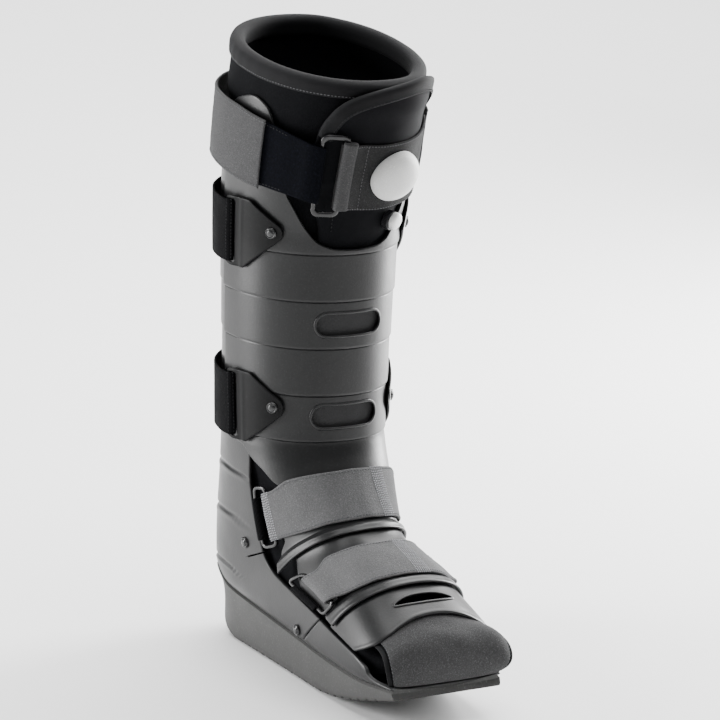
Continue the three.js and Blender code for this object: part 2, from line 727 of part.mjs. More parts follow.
// Padded cloth over the toes: from under the toe plate, down the front and in above the sole's lip
const coverRows = [15.7, 15.95, 16.2, 16.42, 16.6];
const coverTurns = [25, 50, 72, 90];

function coverPoint(step, angle, offset) {
  if (step < coverRows.length) {
    return bodyPoint(coverRows[step], angle, offset - gap / 2);
  }
  const turn = coverTurns[step - coverRows.length] * degree;
  const from = bodyPoint(coverRows[coverRows.length - 1], angle, offset - gap / 2);
  const lip = bodyPoint(lastRow, 180, -shellWall).z + gap * 8;
  const reach = bootLength * coverReach + offset * Math.sin(turn);
  const bottom = lip - offset * 0.15;
  return new THREE.Vector3(
    from.x,
    from.y - (reach - (from.y - bodyPoint(coverRows[4], 0, offset).y) * 0.8) * Math.sin(turn),
    bottom + (from.z - bottom) * Math.cos(turn) ** 0.85,
  );
}

const coverSteps = [...coverRows, ...coverTurns].map((_, step) => step);

function toeCover() {
  const columns = bothSides([0, 20, 38, coverSide]);
  const face = (offset) => coverSteps.map((step) => columns.map((angle) => coverPoint(step, angle, offset)));
  return wall(face(0), face(-coverWall));
}

function toeBinding(side) {
  const rings = coverSteps.map((step) => {
    const middle = coverPoint(step, side * (coverSide + 4.6), -coverWall / 2);
    const inside = coverPoint(step, side * (coverSide + 1.5), -coverWall / 2);
    const up = coverPoint(step, side * (coverSide + 4.6), coverWall / 2).sub(middle).normalize();
    const out = middle.clone().sub(inside).normalize();
    return Array.from({ length: 7 }, (_, i) => {
      const turn = (i / 7) * Math.PI * 2;
      const across = middle.clone().addScaledVector(out, Math.cos(turn) * 1.8);
      return across.addScaledVector(up, Math.sin(turn) * 1.9);
    });
  });
  return tube(rings, false);
}

// Straps

// A strap's path mirrored to the other side
function mirrored(path) {
  return [...path.slice(1).reverse().map(([angle, offset]) => [-angle, offset]), ...path];
}

function sideEdges(table) {
  return (angle) => [look(table, Math.abs(angle), 1), look(table, Math.abs(angle), 2)];
}

// The end of a strap bent round a bar: angles are in degrees of the body, so millimetres are turned into them
function fold(bar, radius, pitch, turns) {
  const [angle, offset] = bar;
  return turns.map((turn) => [
    angle + (Math.sin(turn * degree) * radius) / pitch,
    offset + Math.cos(turn * degree) * radius,
  ]);
}

const foldRadius = ringWire + threadGap + strapWall / 2;
const ankleBar = [66, 1.6];
const ankleRearBar = [75.3, 1.2];
const forefootBar = [60.5, gap + plateWall + gap * 2 + strapWall / 2 + foldRadius];
const forefootRearBar = [73.5, gap + plateWall + threadGap + ringWire];

function ankleStrap() {
  const pitch = barPitch(10.3, ankleBar[0]);
  const over = frontOuter + gap + strapWall / 2;
  const path = [0, 9, 18, 27, 36, 45, 53, 60].map((angle) => [angle, over]);
  const end = fold(ankleBar, foldRadius, pitch, [0, 45, 90, 135, 180]);
  return ribbon(mirrored([...path, ...end, [63.2, end[4][1]]]), strapWall, sideEdges(ankleEdges));
}

function forefootStrap() {
  const pitch = barPitch(13.7, forefootBar[0]);
  const over = frontOuter + gap + strapWall / 2;
  const path = [0, 9, 18, 27, 36, 44].map((angle) => [angle, over]);
  const end = fold(forefootBar, foldRadius + gap, pitch, [-10, 40, 90, 140, 180]);
  const rise = [[50, over + 1.6], [55, over + 4]];
  return ribbon(mirrored([...path, ...rise, ...end, [56, end[4][1]]]), strapWall, sideEdges(forefootEdges));
}

// A short tab of webbing that comes from inside the shell's side and wraps the ring's rear bar. Where the bar
// lies over a plate's edge, the tab rises behind it instead of passing under it.
function chape(side, bar, upperRow, lowerRow, risesBehind) {
  const pitch = barPitch((upperRow + lowerRow) / 2, bar[0]);
  const radius = ringWire + threadGap + webbing / 2 + gap / 2;
  const inside = -shellWall - gap * 2 - webbing / 2;
  const start = [[bar[0] + 19, inside], [bar[0] + 9, inside]];
  const behind = radius / pitch;
  const path = risesBehind
    ? [...start, [bar[0] + behind + 1, inside + 1], [bar[0] + behind, 0]]
    : [...start, [bar[0] + 3.6, inside], [bar[0], inside + 1.4]];
  path.push(...fold(bar, radius, pitch, risesBehind ? [80, 40, 0, -45] : [-150, -100, -50, 0, 45]));
  return ribbon(path.map(([angle, offset]) => [side * angle, offset]), webbing, () => [upperRow, lowerRow]);
}

// Top strap: webbing folded round the ring, a grey loop strap over it, and the pad that carries the pump

const padOver = gap + flapWall + flapGap + padWall / 2;
const blackOver = gap + flapWall + flapGap + webbing / 2;
const topRingOffset = padOver + padWall / 2 + threadGap + ringWire;
const topRingLeft = -17;
const topRingRight = -30.5;
const greyOver = padOver + padWall / 2 + gap + strapWall / 2;

function tableEdges(table) {
  const rising = [...table].sort((a, b) => a[0] - b[0]);
  return (angle) => [look(rising, angle, 1), look(rising, angle, 2)];
}

function topStrapBlack() {
  const radius = ringWire + threadGap + webbing / 2;
  const pitch = barPitch(2.2, topRingRight);
  const round = fold([topRingRight, topRingOffset], radius, pitch, [0, 45, 90, 135, 180]);
  const back = [-95, -85, -75, -66, -58].map((angle) => [angle, blackOver]);
  const rise = [[-51, blackOver + 0.8], [-43, blackOver + 2.6], [-36, topRingOffset + radius * 0.88]];
  return ribbon([...back, ...rise, ...round, [-35.5, round[4][1]]], webbing, tableEdges(topBlackEdges));
}

function topStrapGrey() {
  const half = [
    [64, greyOver], [74, greyOver], [84, greyOver + 0.2], [95, greyOver + 0.2], [108, greyOver],
    [123, greyOver - 0.6], [138, greyOver - 1.8], [152, greyOver - 3], [166, greyOver - 3.8],
    [180, greyOver - 4],
  ];
  const other = half.slice(0, -1).reverse().map(([angle, offset]) => [360 - angle, offset]);
  const path = [...half, ...other].map(([angle, offset]) => [-angle, offset]);
  return ribbon(path, strapWall, tableEdges(topGreyEdges));
}

function frontPad() {
  const radius = ringWire + threadGap + padWall / 2;
  const pitch = barPitch(2.2, topRingLeft);
  const round = fold([topRingLeft, topRingOffset], radius, pitch, [0, -45, -90, -135, -180]);
  const front = [-4, 4, 12, 20, 28, 36, 44, 52, 60, 68].map((angle) => [angle, padOver]);
  const rise = [[-12.5, topRingOffset + radius * 0.6], [-8, padOver + 1.6]];
  const path = [[-13.5, round[4][1]], ...round.reverse(), ...rise, ...front];
  return ribbon(path, padWall, tableEdges(padEdges));
}

// The pump's dome follows the pad
function pumpBulb() {
  const base = padOver + padWall / 2 + gap * 1.5;
  const alongRow = rowPitch(bulbRow, bulbAngle);
  const alongAngle = degreePitch(bulbRow, bulbAngle);
  const sides = 14;
  const ring = (share, height) => Array.from({ length: sides }, (_, i) => {
    const turn = (i / sides) * Math.PI * 2;
    return bodyPoint(bulbRow + (Math.sin(turn) * bulbRadius * share) / alongRow,
      bulbAngle + (Math.cos(turn) * bulbRadius * share) / alongAngle, base + height * bulbHeight);
  });
  return tube([ring(0.5, 0), ring(1, 0), ring(1, 0.12), ring(0.93, 0.42), ring(0.75, 0.74), ring(0.45, 0.95),
    ring(0.15, 1)], false);
}

// Round pieces that stand on the body, turned so that their axis points outwards
function standing(geometry, row, angle, offset) {
  const turn = new THREE.Quaternion().setFromUnitVectors(new THREE.Vector3(0, 0, 1), outward(row, angle));
  const at = bodyPoint(row, angle, offset);
  return geometry.applyQuaternion(turn).translate(at.x, at.y, at.z);
}

function lathe(profile, segments) {
  const geometry = new THREE.LatheGeometry(profile.map(([x, y]) => new THREE.Vector2(x, y)), segments);
  return geometry.rotateX(Math.PI / 2);
}

function rivet() {
  return lathe([[0, 0], [rivetRadius, 0], [rivetRadius * 0.75, rivetHeight * 0.75], [0, rivetHeight]], 9);
}

function valveBody() {
  const teeth = 11;
  const outline = Array.from({ length: teeth * 2 }, (_, i) => {
    const turn = (i / teeth) * Math.PI;
    const radius = valveRadius - (i % 2) * valveRidge;
    return new THREE.Vector2(Math.cos(turn) * radius, Math.sin(turn) * radius);
  });
  return new THREE.ExtrudeGeometry(new THREE.Shape(outline), { depth: valveLength, bevelEnabled: false });
}

function valveCap() {
  const profile = [
    [0, 0], [capRadius, 0], [capRadius, capLength * 0.7], [capRadius * 0.8, capLength], [0, capLength],
  ];
  return lathe(profile, 12);
}

// Brackets and calf straps

const bracketRear = 88;
const bracketOver = frontOuter + bandStep + gap + bracketWall / 2;
const bracketLift = webbing + gap;
const bracketRows = { upper: 3.73, lower: 7.42 };
const bracketSlotEnd = bracketBar + bracketSlotWidth;
const tip = { a: bracketLength - bracketTip, b: bracketTipRise };

// From millimetres on the bracket (a forward from its rear edge, b up) to a place on the body
function bracketAngle(centreRow, a) {
  return bracketRear - a / degreePitch(centreRow, 70);
}

function bracketPlace(side, centreRow, a, b) {
  return [centreRow - b / rowPitch(centreRow, 90), side * bracketAngle(centreRow, a)];
}

function bracketOffset(a) {
  return bracketOver + smoothstep(bracketSlotEnd + 4, bracketBar, a) * bracketLift;
}

// Height of the bracket's upper (sign 1) or lower (sign -1) edge: straight, then a line to the round tip
function bracketEdge(a, sign, cornerA) {
  const corner = { a: cornerA, b: (sign * bracketHeight) / 2 };
  const distance = Math.hypot(tip.a - corner.a, tip.b - corner.b);
  const slope = Math.atan2(tip.b - corner.b, tip.a - corner.a) + sign * Math.asin(bracketTip / distance);
  const reach = Math.sqrt(distance ** 2 - bracketTip ** 2);
  const touchA = corner.a + Math.cos(slope) * reach;
  if (a <= corner.a) {
    return corner.b;
  }
  if (a <= touchA) {
    return corner.b + Math.tan(slope) * (a - corner.a);
  }
  return tip.b + sign * Math.sqrt(Math.max(bracketTip ** 2 - (a - tip.a) ** 2, 0));
}

function bracket(side, centreRow) {
  const stations = [0, bracketBar, bracketSlotEnd, 12, 15, 20, 34, tip.a + 2, tip.a + 6, bracketLength - 0.3];
  const face = (shift) => stations.map((a) => [0, 0.5, 1].map((share) => {
    const b = mix(bracketEdge(a, -1, 15), bracketEdge(a, 1, 20), share);
    return bodyPoint(...bracketPlace(side, centreRow, a, b), bracketOffset(a) + shift);
  }));
  const plate = wall(face(bracketWall / 2), face(-bracketWall / 2));
  const half = bracketSlotHeight / 2;
  const slotPlaces = [half, 0, -half].map((b) => [bracketBar, bracketSlotEnd].map((a) => (
    bracketPlace(side, centreRow, a, b))));
  return cut(plate, [bodyWall(slotPlaces, () => 0, () => bracketOver * 3)]);
}

// Black webbing behind the calf: folded through a bracket's slot on each side
function calfStrap(centreRow) {
  const half = calfStrapWidth / 2 / rowPitch(centreRow, 90);
  const clear = bracketWall / 2 + threadGap + webbing / 2;
  const bar = bracketOver + bracketLift;
  const end = [[-6, -clear], [bracketBar + 0.4, -clear], [bracketBar + 1.6, -1], [bracketBar + 1.6, 1],
    [bracketBar + 0.4, clear], [-5, clear]].map(([a, rise]) => [bracketAngle(centreRow, a), bar + rise]);
  const back = [[99, 8.2], [110, 6.2], [124, 4.2], [150, 2.9], [165, 2.6], [180, 2.5]];
  const halfPath = [...end, ...back];
  const other = halfPath.slice(0, -1).reverse().map(([angle, offset]) => [360 - angle, offset]);
  return ribbon([...halfPath, ...other].map(([angle, offset]) => [-angle, offset]), webbing,
    () => [centreRow - half, centreRow + half]);
}

// The assembly

place('rear_shell', rearShell(), materials.shell);
place('outsole', outsole(), materials.sole);
place('front_shell', frontShell(), materials.shell);
place('instep_plate', instepPlate(), materials.shell);
place('midfoot_plate', midfootPlate(), materials.shell);
place('toe_plate', toePlate(), materials.shell);
place('liner', liner(), materials.foam);
place('collar_binding', collarBinding(), materials.binding);
place('liner_flap', linerFlap(), materials.foam);
place('flap_binding', flapBinding(), materials.binding);
place('toe_cover', toeCover(), materials.foam);
place('top_strap_black', topStrapBlack(), materials.blackStrap);
place('top_strap_grey', topStrapGrey(), materials.greyStrap);
place('front_pad', frontPad(), materials.greyStrap);
const topBars = [topRingRight, topRingLeft].map((angle) => [angle, topRingOffset]);
place('top_ring', ringLoop(...topBars, 1.25, 3.08), materials.ring);
place('pump_bulb', pumpBulb(), materials.bulb);
place('valve_body', standing(valveBody(), valveRow, valveAngle, flapTop + gap), materials.valve);
const capOver = flapTop + valveLength + gap * 2;
place('valve_cap', standing(valveCap(), valveRow, valveAngle, capOver), materials.cap);
place('ankle_strap', ankleStrap(), materials.greyStrap);
place('forefoot_strap', forefootStrap(), materials.greyStrap);

for (const [sideName, side] of [['right', -1], ['left', 1]]) {
  place(`toe_binding_${sideName}`, toeBinding(side), materials.binding);
  for (const [levelName, centreRow] of Object.entries(bracketRows)) {
    place(`bracket_${levelName}_${sideName}`, bracket(side, centreRow), materials.bracket);
    const head = bracketPlace(side, centreRow, tip.a, tip.b);
    const seat = bracketOver + bracketWall / 2 + gap;
    place(`bracket_rivet_${levelName}_${sideName}`, standing(rivet(), ...head, seat), materials.rivet);
  }
  place(`flap_rivet_rear_${sideName}`, standing(rivet(), 10.86, side * 88, gap), materials.rivet);
  place(`flap_rivet_front_${sideName}`, standing(rivet(), 14.09, side * 100, gap), materials.rivet);
  const ankleLoop = [ankleRearBar, ankleBar].map(([angle, offset]) => [side * angle, offset]);
  place(`ankle_ring_${sideName}`, ringLoop(...ankleLoop, 9.4, 11.2), materials.ring);
  place(`ankle_chape_${sideName}`, chape(side, ankleRearBar, 9.7, 10.9, false), materials.blackStrap);
  const forefootLoop = [forefootRearBar, forefootBar].map(([angle, offset]) => [side * angle, offset]);
  place(`forefoot_ring_${sideName}`, ringLoop(...forefootLoop, 12.92, 14.45), materials.ring);
  place(`forefoot_chape_${sideName}`, chape(side, forefootRearBar, 13.2, 14.15, true), materials.blackStrap);
}
for (const [levelName, centreRow] of Object.entries(bracketRows)) {
  place(`calf_strap_${levelName}`, calfStrap(centreRow), materials.blackStrap);
}

export default boot;
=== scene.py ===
"""A tall medical walking boot, dressed around its solid model.

Every piece is laid on the same body surface as the solids: rows run from the collar (0) down the shaft, round
the heel and along the foot to the toe (17), and angles in degrees from the front (0) round to the back (180),
with the right side negative. Lengths in the modelling functions are millimetres.
"""

import math

import bpy
import numpy as np
from bpy.props import FloatProperty, FloatVectorProperty, IntProperty, PointerProperty
from bpy.types import Operator, Panel, PropertyGroup
from mathutils import Matrix, Vector


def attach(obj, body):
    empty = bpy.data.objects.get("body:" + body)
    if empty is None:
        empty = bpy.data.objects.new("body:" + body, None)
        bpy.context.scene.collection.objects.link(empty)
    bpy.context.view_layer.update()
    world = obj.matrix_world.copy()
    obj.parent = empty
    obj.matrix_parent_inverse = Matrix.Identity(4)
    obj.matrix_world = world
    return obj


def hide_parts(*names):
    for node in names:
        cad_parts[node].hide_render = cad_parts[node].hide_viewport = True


bl_info = {
    "name": "Walking boot",
    "version": (1, 0, 0),
    "blender": (4, 5, 0),
    "location": "3D View > Sidebar > Boot",
    "description": "Builds the dressed pieces of a tall medical walking boot",
    "category": "Add Mesh",
}

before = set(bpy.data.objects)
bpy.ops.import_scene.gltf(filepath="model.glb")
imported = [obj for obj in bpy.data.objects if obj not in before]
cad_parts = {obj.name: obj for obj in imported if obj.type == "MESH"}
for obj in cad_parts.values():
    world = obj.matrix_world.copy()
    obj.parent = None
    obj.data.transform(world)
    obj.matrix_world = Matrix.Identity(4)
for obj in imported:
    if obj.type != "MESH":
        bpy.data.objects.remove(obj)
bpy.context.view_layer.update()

MM = 0.001
BOOT, VALVE = "boot", "valve"
SIDES = ((-1, "right"), (1, "left"))

# Overall sizes and walls, as in the solids
LENGTH, HEIGHT, WIDTH = 292.0, 471.0, 143.0
SHELL_WALL, FRONT_WALL, PLATE_WALL = 3.0, 2.7, 2.4
LINER_WALL, FLAP_WALL, COVER_WALL = 6.0, 3.4, 4.0
WEBBING, STRAP_WALL, PAD_WALL, TAPE = 1.6, 2.0, 2.0, 1.5
BRACKET_WALL, RING_WIRE = 1.8, 1.4
GAP, THREAD_GAP, FLAP_GAP, PLATE_LIFT, BAND = 0.4, 0.5, 0.8, 0.85, 1.0
FRONT_OUTER = GAP + FRONT_WALL

# frontY, frontZ, backY, backZ and halfWidth as shares, then middle, front power and back power
SECTIONS = np.array([
    [-0.0753, 0.9490, 0.4452, 1.0000, 0.5000, 0.50, 2.10, 2.10],
    [-0.0428, 0.8875, 0.4658, 0.9214, 0.5000, 0.50, 2.10, 2.10],
    [-0.0068, 0.8174, 0.4863, 0.8365, 0.4860, 0.50, 2.10, 2.10],
    [0.0205, 0.7473, 0.5000, 0.7558, 0.4650, 0.50, 2.10, 2.10],
    [0.0394, 0.6709, 0.5051, 0.6709, 0.4420, 0.50, 2.10, 2.10],
    [0.0428, 0.5945, 0.4983, 0.5945, 0.4322, 0.50, 2.10, 2.10],
    [0.0445, 0.5180, 0.4897, 0.5180, 0.4210, 0.50, 2.10, 2.10],
    [0.0445, 0.4416, 0.4829, 0.4416, 0.4091, 0.50, 2.15, 2.10],
    [0.0411, 0.3673, 0.4777, 0.3652, 0.3986, 0.50, 2.20, 2.15],
    [0.0068, 0.3185, 0.4812, 0.2760, 0.3916, 0.50, 2.30, 2.30],
    [-0.0377, 0.2803, 0.4829, 0.1868, 0.3776, 0.47, 2.40, 2.60],
    [-0.0890, 0.2484, 0.4726, 0.1062, 0.3566, 0.42, 2.50, 3.00],
    [-0.1370, 0.2314, 0.3836, 0.0701, 0.3427, 0.36, 2.60, 3.60],
    [-0.1986, 0.2197, 0.2123, 0.0658, 0.3497, 0.33, 2.60, 4.20],
    [-0.2671, 0.2038, 0.0000, 0.0594, 0.3566, 0.32, 2.60, 4.50],
    [-0.3356, 0.1847, -0.1712, 0.0541, 0.3706, 0.32, 2.50, 4.50],
    [-0.4178, 0.1614, -0.3253, 0.0531, 0.3776, 0.32, 2.40, 4.50],
    [-0.4966, 0.1316, -0.4966, 0.0616, 0.3497, 0.34, 2.30, 4.50],
]) * [LENGTH, HEIGHT, LENGTH, HEIGHT, WIDTH, 1, 1, 1]
LAST_ROW = len(SECTIONS) - 1

# The rocker of the sole in the middle plane: row, Y and Z
ROCKER = np.array([
    [11.25, 0.4555, 0.0870], [11.60, 0.4310, 0.0560], [12.00, 0.3870, 0.0240], [12.40, 0.3360, 0.0075],
    [12.75, 0.2830, 0.0000], [13.00, 0.2123, 0.0000], [14.00, 0.0000, 0.0000], [14.75, -0.1370, 0.0000],
    [15.25, -0.2140, 0.0045], [16.00, -0.3253, 0.0190], [16.50, -0.4140, 0.0345], [17.00, -0.5060, 0.0520],
]) * [1, LENGTH, HEIGHT]

# Edges in rows and degrees, the same on both sides
FRONT_TOP = np.array([
    [0, 3.90], [12, 3.88], [24, 3.76], [34, 3.45], [43, 3.00], [48, 2.72], [52, 2.25], [57, 1.65], [62, 1.18],
    [68, 0.87], [78, 0.74], [88, 0.87], [95, 1.09], [98, 1.25],
])
FRONT_BOTTOM = np.array([[0, 9.55], [45, 9.50], [57, 9.22], [64, 8.90], [73, 8.60], [80, 8.32], [98, 8.18]])
SHELL_SIDE = np.array([
    [1.5, 74], [8.2, 75], [8.6, 77], [9.3, 80], [10.0, 79.5], [11.0, 78], [11.4, 78.5], [12.3, 80],
    [13.0, 81], [14.2, 82.5], [15.0, 83], [15.9, 84], [16.35, 89], [16.7, 105], [17, 118],
])
INSTEP_SIDE = np.array([[9.85, 58], [11.1, 60], [11.4, 66], [12.5, 75]])
INSTEP_TIP = np.array([[0, 11.26], [17, 11.32], [32, 11.47], [54, 11.88], [75, 12.5]])
MIDFOOT_TIP = np.array([[0, 14.78], [30, 14.84], [60, 14.90], [78, 14.98]])
TOE_TIP = np.array([[0, 16.00], [12, 16.05], [25, 16.16], [40, 16.28], [54, 16.30], [66, 16.18], [78, 15.95]])
# The flap's edges, left and right as seen from the front
FLAP_LEFT = np.array([
    [-0.15, 18], [0, 2], [0.18, -13], [0.43, -23], [0.81, -30], [1.23, -34], [2, -35], [3, -30], [3.4, -26],
    [4.3, -24],
])
FLAP_RIGHT = np.array([
    [-0.15, 78], [0.6, 78], [0.8, 62], [1.18, 58], [1.65, 54], [2.25, 49], [2.7, 45], [3, 41], [3.45, 37],
    [3.75, 35], [4.3, 34],
])

# Straps: degrees, upper row and lower row
TOP_GREY = np.array([
    [-296, 1.13, 2.68], [-272, 1.00, 2.53], [-253, 0.98, 2.42], [-180, 0.98, 2.40], [-107, 0.98, 2.42],
    [-88, 1.00, 2.53], [-64, 1.13, 2.68],
])
TOP_BLACK = np.array([[-95, 1.05, 2.52], [-64, 1.18, 2.62], [-40, 1.40, 2.74], [-26, 1.53, 2.86]])
PAD = np.array([[-22, 1.38, 2.93], [9, 1.48, 3.04], [40, 1.42, 2.98], [66, 1.2, 2.72]])
ANKLE = np.array([
    [0, 8.83, 10.67], [24, 8.92, 10.73], [45, 9.10, 10.90], [60, 9.46, 10.98], [72, 9.62, 11.02],
])
FOREFOOT = np.array([
    [0, 12.15, 14.25], [20, 12.22, 14.27], [40, 12.45, 14.30], [54, 13.00, 14.28], [64, 13.12, 14.26],
])

# How far the left side is drawn in along the shaft and again at the collar, only in the dressed boot
PINCH_SHAFT, PINCH_COLLAR = 6.0, 4.0
# The length of one row above the collar, a share of the height, and past the toe, a share of the length
ROW_ABOVE, ROW_PAST = 0.07, 0.08
ROW_STEP = 0.02


# The body surface

def slopes_between(steps, widths=1.0):
    """Slopes at the places of a table from its neighbours' harmonic mean, so that no curve overshoots."""
    rates = steps / widths
    slopes = np.empty((len(rates) + 1,) + rates.shape[1:])
    slopes[0], slopes[-1] = rates[0], rates[-1]
    total = rates[:-1] + rates[1:]
    product = rates[:-1] * rates[1:]
    slopes[1:-1] = np.where(product > 0, 2 * product / np.where(product > 0, total, 1), 0)
    return slopes


def hermite(start, end, start_slope, end_slope, t):
    a = 2 * start - 2 * end + start_slope + end_slope
    b = 3 * end - 3 * start - 2 * start_slope - end_slope
    return ((a * t + b) * t + start_slope) * t + start


SLOPES = slopes_between(np.diff(SECTIONS, axis=0))


def body(row, angle, offset=0.0):
    """Points of the body at rows and angles, moved out of the surface by offset."""
    row, angle, offset = np.broadcast_arrays(np.asarray(row, float), np.asarray(angle, float), offset)
    at = np.clip(row, 0, LAST_ROW)
    i = np.minimum(at.astype(int), LAST_ROW - 1)
    values = hermite(SECTIONS[i], SECTIONS[i + 1], SLOPES[i], SLOPES[i + 1], (at - i)[..., None])
    front_y, front_z, back_y, back_z, half, middle, front_power, back_power = np.moveaxis(values, -1, 0)
    depth = np.hypot(front_y - back_y, front_z - back_z)
    to_y, to_z = (front_y - back_y) / depth, (front_z - back_z) / depth
    span = depth + 2 * offset
    across, along = np.sin(np.radians(angle)), np.cos(np.radians(angle))
    pinch = PINCH_SHAFT * smooth(2.6, 0.9, row) + PINCH_COLLAR * smooth(1.0, 0.2, row)
    half = half - pinch * smooth(0.1, 0.7, across)
    power = np.where(along >= 0, front_power, back_power)
    reach = np.where(along >= 0, 1 - middle, middle) * span * signed_power(along, 2 / power)
    place = middle * span - offset + reach
    above = np.maximum(-row, 0) * HEIGHT * ROW_ABOVE
    past = np.maximum(row - LAST_ROW, 0) * LENGTH * ROW_PAST
    return np.stack([
        (half + offset) * signed_power(across, 2 / power),
        back_y + to_y * place - past,
        back_z + to_z * place + above,
    ], -1)


def smooth(low, high, value):
    t = np.clip((value - low) / (high - low), 0, 1)
    return t * t * (3 - 2 * t)


def signed_power(wave, power):
    return np.sign(wave) * np.abs(wave) ** power


def full_turn(count):
    """Angles of a full turn in radians."""
    return np.arange(count) / count * 2 * math.pi


def mix(a, b, t):
    return a + (b - a) * t


def look(table, value, column=1):
    """A smooth curve through a table whose first column rises."""
    x, y = table[:, 0], table[:, column]
    value = np.clip(value, x[0], x[-1])
    widths = np.diff(x)
    slopes = slopes_between(np.diff(y), widths)
    i = np.clip(np.searchsorted(x, value, "right") - 1, 0, len(widths) - 1)
    share = (value - x[i]) / widths[i]
    return hermite(y[i], y[i + 1], slopes[i] * widths[i], slopes[i + 1] * widths[i], share)


def unit(vectors):
    return vectors / np.maximum(np.linalg.norm(vectors, axis=-1, keepdims=True), 1e-9)


def row_direction(row, angle):
    row = np.clip(row, 0, LAST_ROW)
    return body(np.minimum(row + ROW_STEP, LAST_ROW), angle) - body(np.maximum(row - ROW_STEP, 0), angle)


def outward(row, angle):
    """The surface's normals."""
    row = np.asarray(row, float)
    normal = unit(np.cross(row_direction(row, angle), body(row, angle + 1) - body(row, angle - 1)))
    roughly = body(row, angle, 1) - body(row, angle, -1)
    return normal * np.sign(np.sum(normal * roughly, -1, keepdims=True))


def row_pitch(row, angle):
    """Millimetres for each row."""
    return np.linalg.norm(row_direction(np.asarray(row, float), angle), axis=-1) / (ROW_STEP * 2)


def degree_pitch(row, angle):
    """Millimetres for each degree."""
    return np.linalg.norm(body(row, angle + 1) - body(row, angle - 1), axis=-1) / 2


def bar_pitch(row, angle):
    """Millimetres for each degree, measured square to a bar that runs along the rows."""
    along = unit(row_direction(row, angle))
    across = body(row, angle + 1) - body(row, angle - 1)
    return np.linalg.norm(across - along * np.sum(across * along)) / 2


def ripple(points, size, seed):
    """A soft repeatable waviness of about -1 to 1, with waves of about the given size."""
    random = np.random.default_rng(seed)
    total = np.zeros(points.shape[:-1])
    for _ in range(8):
        direction = unit(random.normal(size=3)) * 2 * math.pi / size * random.uniform(0.5, 1.6)
        total += np.sin(points @ direction + random.uniform(0, 2 * math.pi))
    return total / 4


# Meshes

def strip(first, second, closed=False):
    """Quads between two lines of point numbers."""
    first, second = np.asarray(first), np.asarray(second)
    if closed:
        first, second = np.append(first, first[0]), np.append(second, second[0])
    return np.stack([first[:-1], first[1:], second[1:], second[:-1]], -1)


def grid_quads(index, closed=False):
    return np.concatenate([strip(a, b, closed) for a, b in zip(index[:-1], index[1:])])


def piece(name, points, quads, material, tris=None, uv=None, edge=None, sharp=None):
    """An object from points in millimetres, with its faces turned outwards."""
    points = np.asarray(points, float)
    tris = np.zeros((0, 3), int) if tris is None else np.asarray(tris, int)
    quads = np.asarray(quads, int).reshape(-1, 4)
    split = np.concatenate([quads[:, [0, 1, 2]], quads[:, [0, 2, 3]], tris])
    corners = points[split]
    volume = np.sum(corners[:, 0] * np.cross(corners[:, 1], corners[:, 2]))
    if volume < 0:
        quads, tris = quads[:, ::-1], tris[:, ::-1]
    mesh = bpy.data.meshes.new(name)
    mesh.from_pydata((points * MM).tolist(), [], quads.tolist() + tris.tolist())
    mesh.materials.append(material)
    loops = np.zeros(len(mesh.loops), int)
    mesh.loops.foreach_get("vertex_index", loops)
    if uv is not None:
        layer = mesh.uv_layers.new(name="UVMap")
        layer.data.foreach_set("uv", (np.asarray(uv, float) * MM)[loops].ravel())
    if edge is not None:
        attribute = mesh.attributes.new("edge", "FLOAT", "POINT")
        attribute.data.foreach_set("value", np.asarray(edge, np.float32).ravel())
    mesh.polygons.foreach_set("use_smooth", [True] * len(mesh.polygons))
    if sharp is not None:
        mesh.set_sharp_from_angle(angle=math.radians(sharp))
    mesh.update()
    obj = bpy.data.objects.new(name, mesh)
    bpy.context.scene.collection.objects.link(obj)
    return obj


def finish_mesh(obj):
    """Turns a piece and its modifiers into a plain mesh."""
    graph = bpy.context.evaluated_depsgraph_get()
    mesh = bpy.data.meshes.new_from_object(obj.evaluated_get(graph), depsgraph=graph)
    obj.modifiers.clear()
    old = obj.data
    obj.data = mesh
    bpy.data.meshes.remove(old)
    mesh.name = obj.name


def cut_out(obj, cutters):
    for cutter in cutters:
        modifier = obj.modifiers.new("hole", "BOOLEAN")
        modifier.operation = "DIFFERENCE"
        modifier.solver = "EXACT"
        modifier.object = cutter
    finish_mesh(obj)
    for cutter in cutters:
        bpy.data.meshes.remove(cutter.data)


def settle(obj, slot, *nodes, rides=BOOT):
    """Hands a finished piece to the frame: its body and the solids that it stands for. The slot is not used.
    """
    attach(obj, rides)
    if nodes:
        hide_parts(*nodes)


def lengths_of(points):
    """Lengths in millimetres down and across a grid of points."""
    down = np.linalg.norm(np.diff(points, axis=0), axis=-1)
    across = np.linalg.norm(np.diff(points, axis=1), axis=-1)
    return (np.vstack([np.zeros(points.shape[1]), np.cumsum(down, axis=0)]),
            np.hstack([np.zeros((points.shape[0], 1)), np.cumsum(across, axis=1)]))


def grid_normals(points):
    return unit(np.cross(np.gradient(points, axis=1), np.gradient(points, axis=0)))


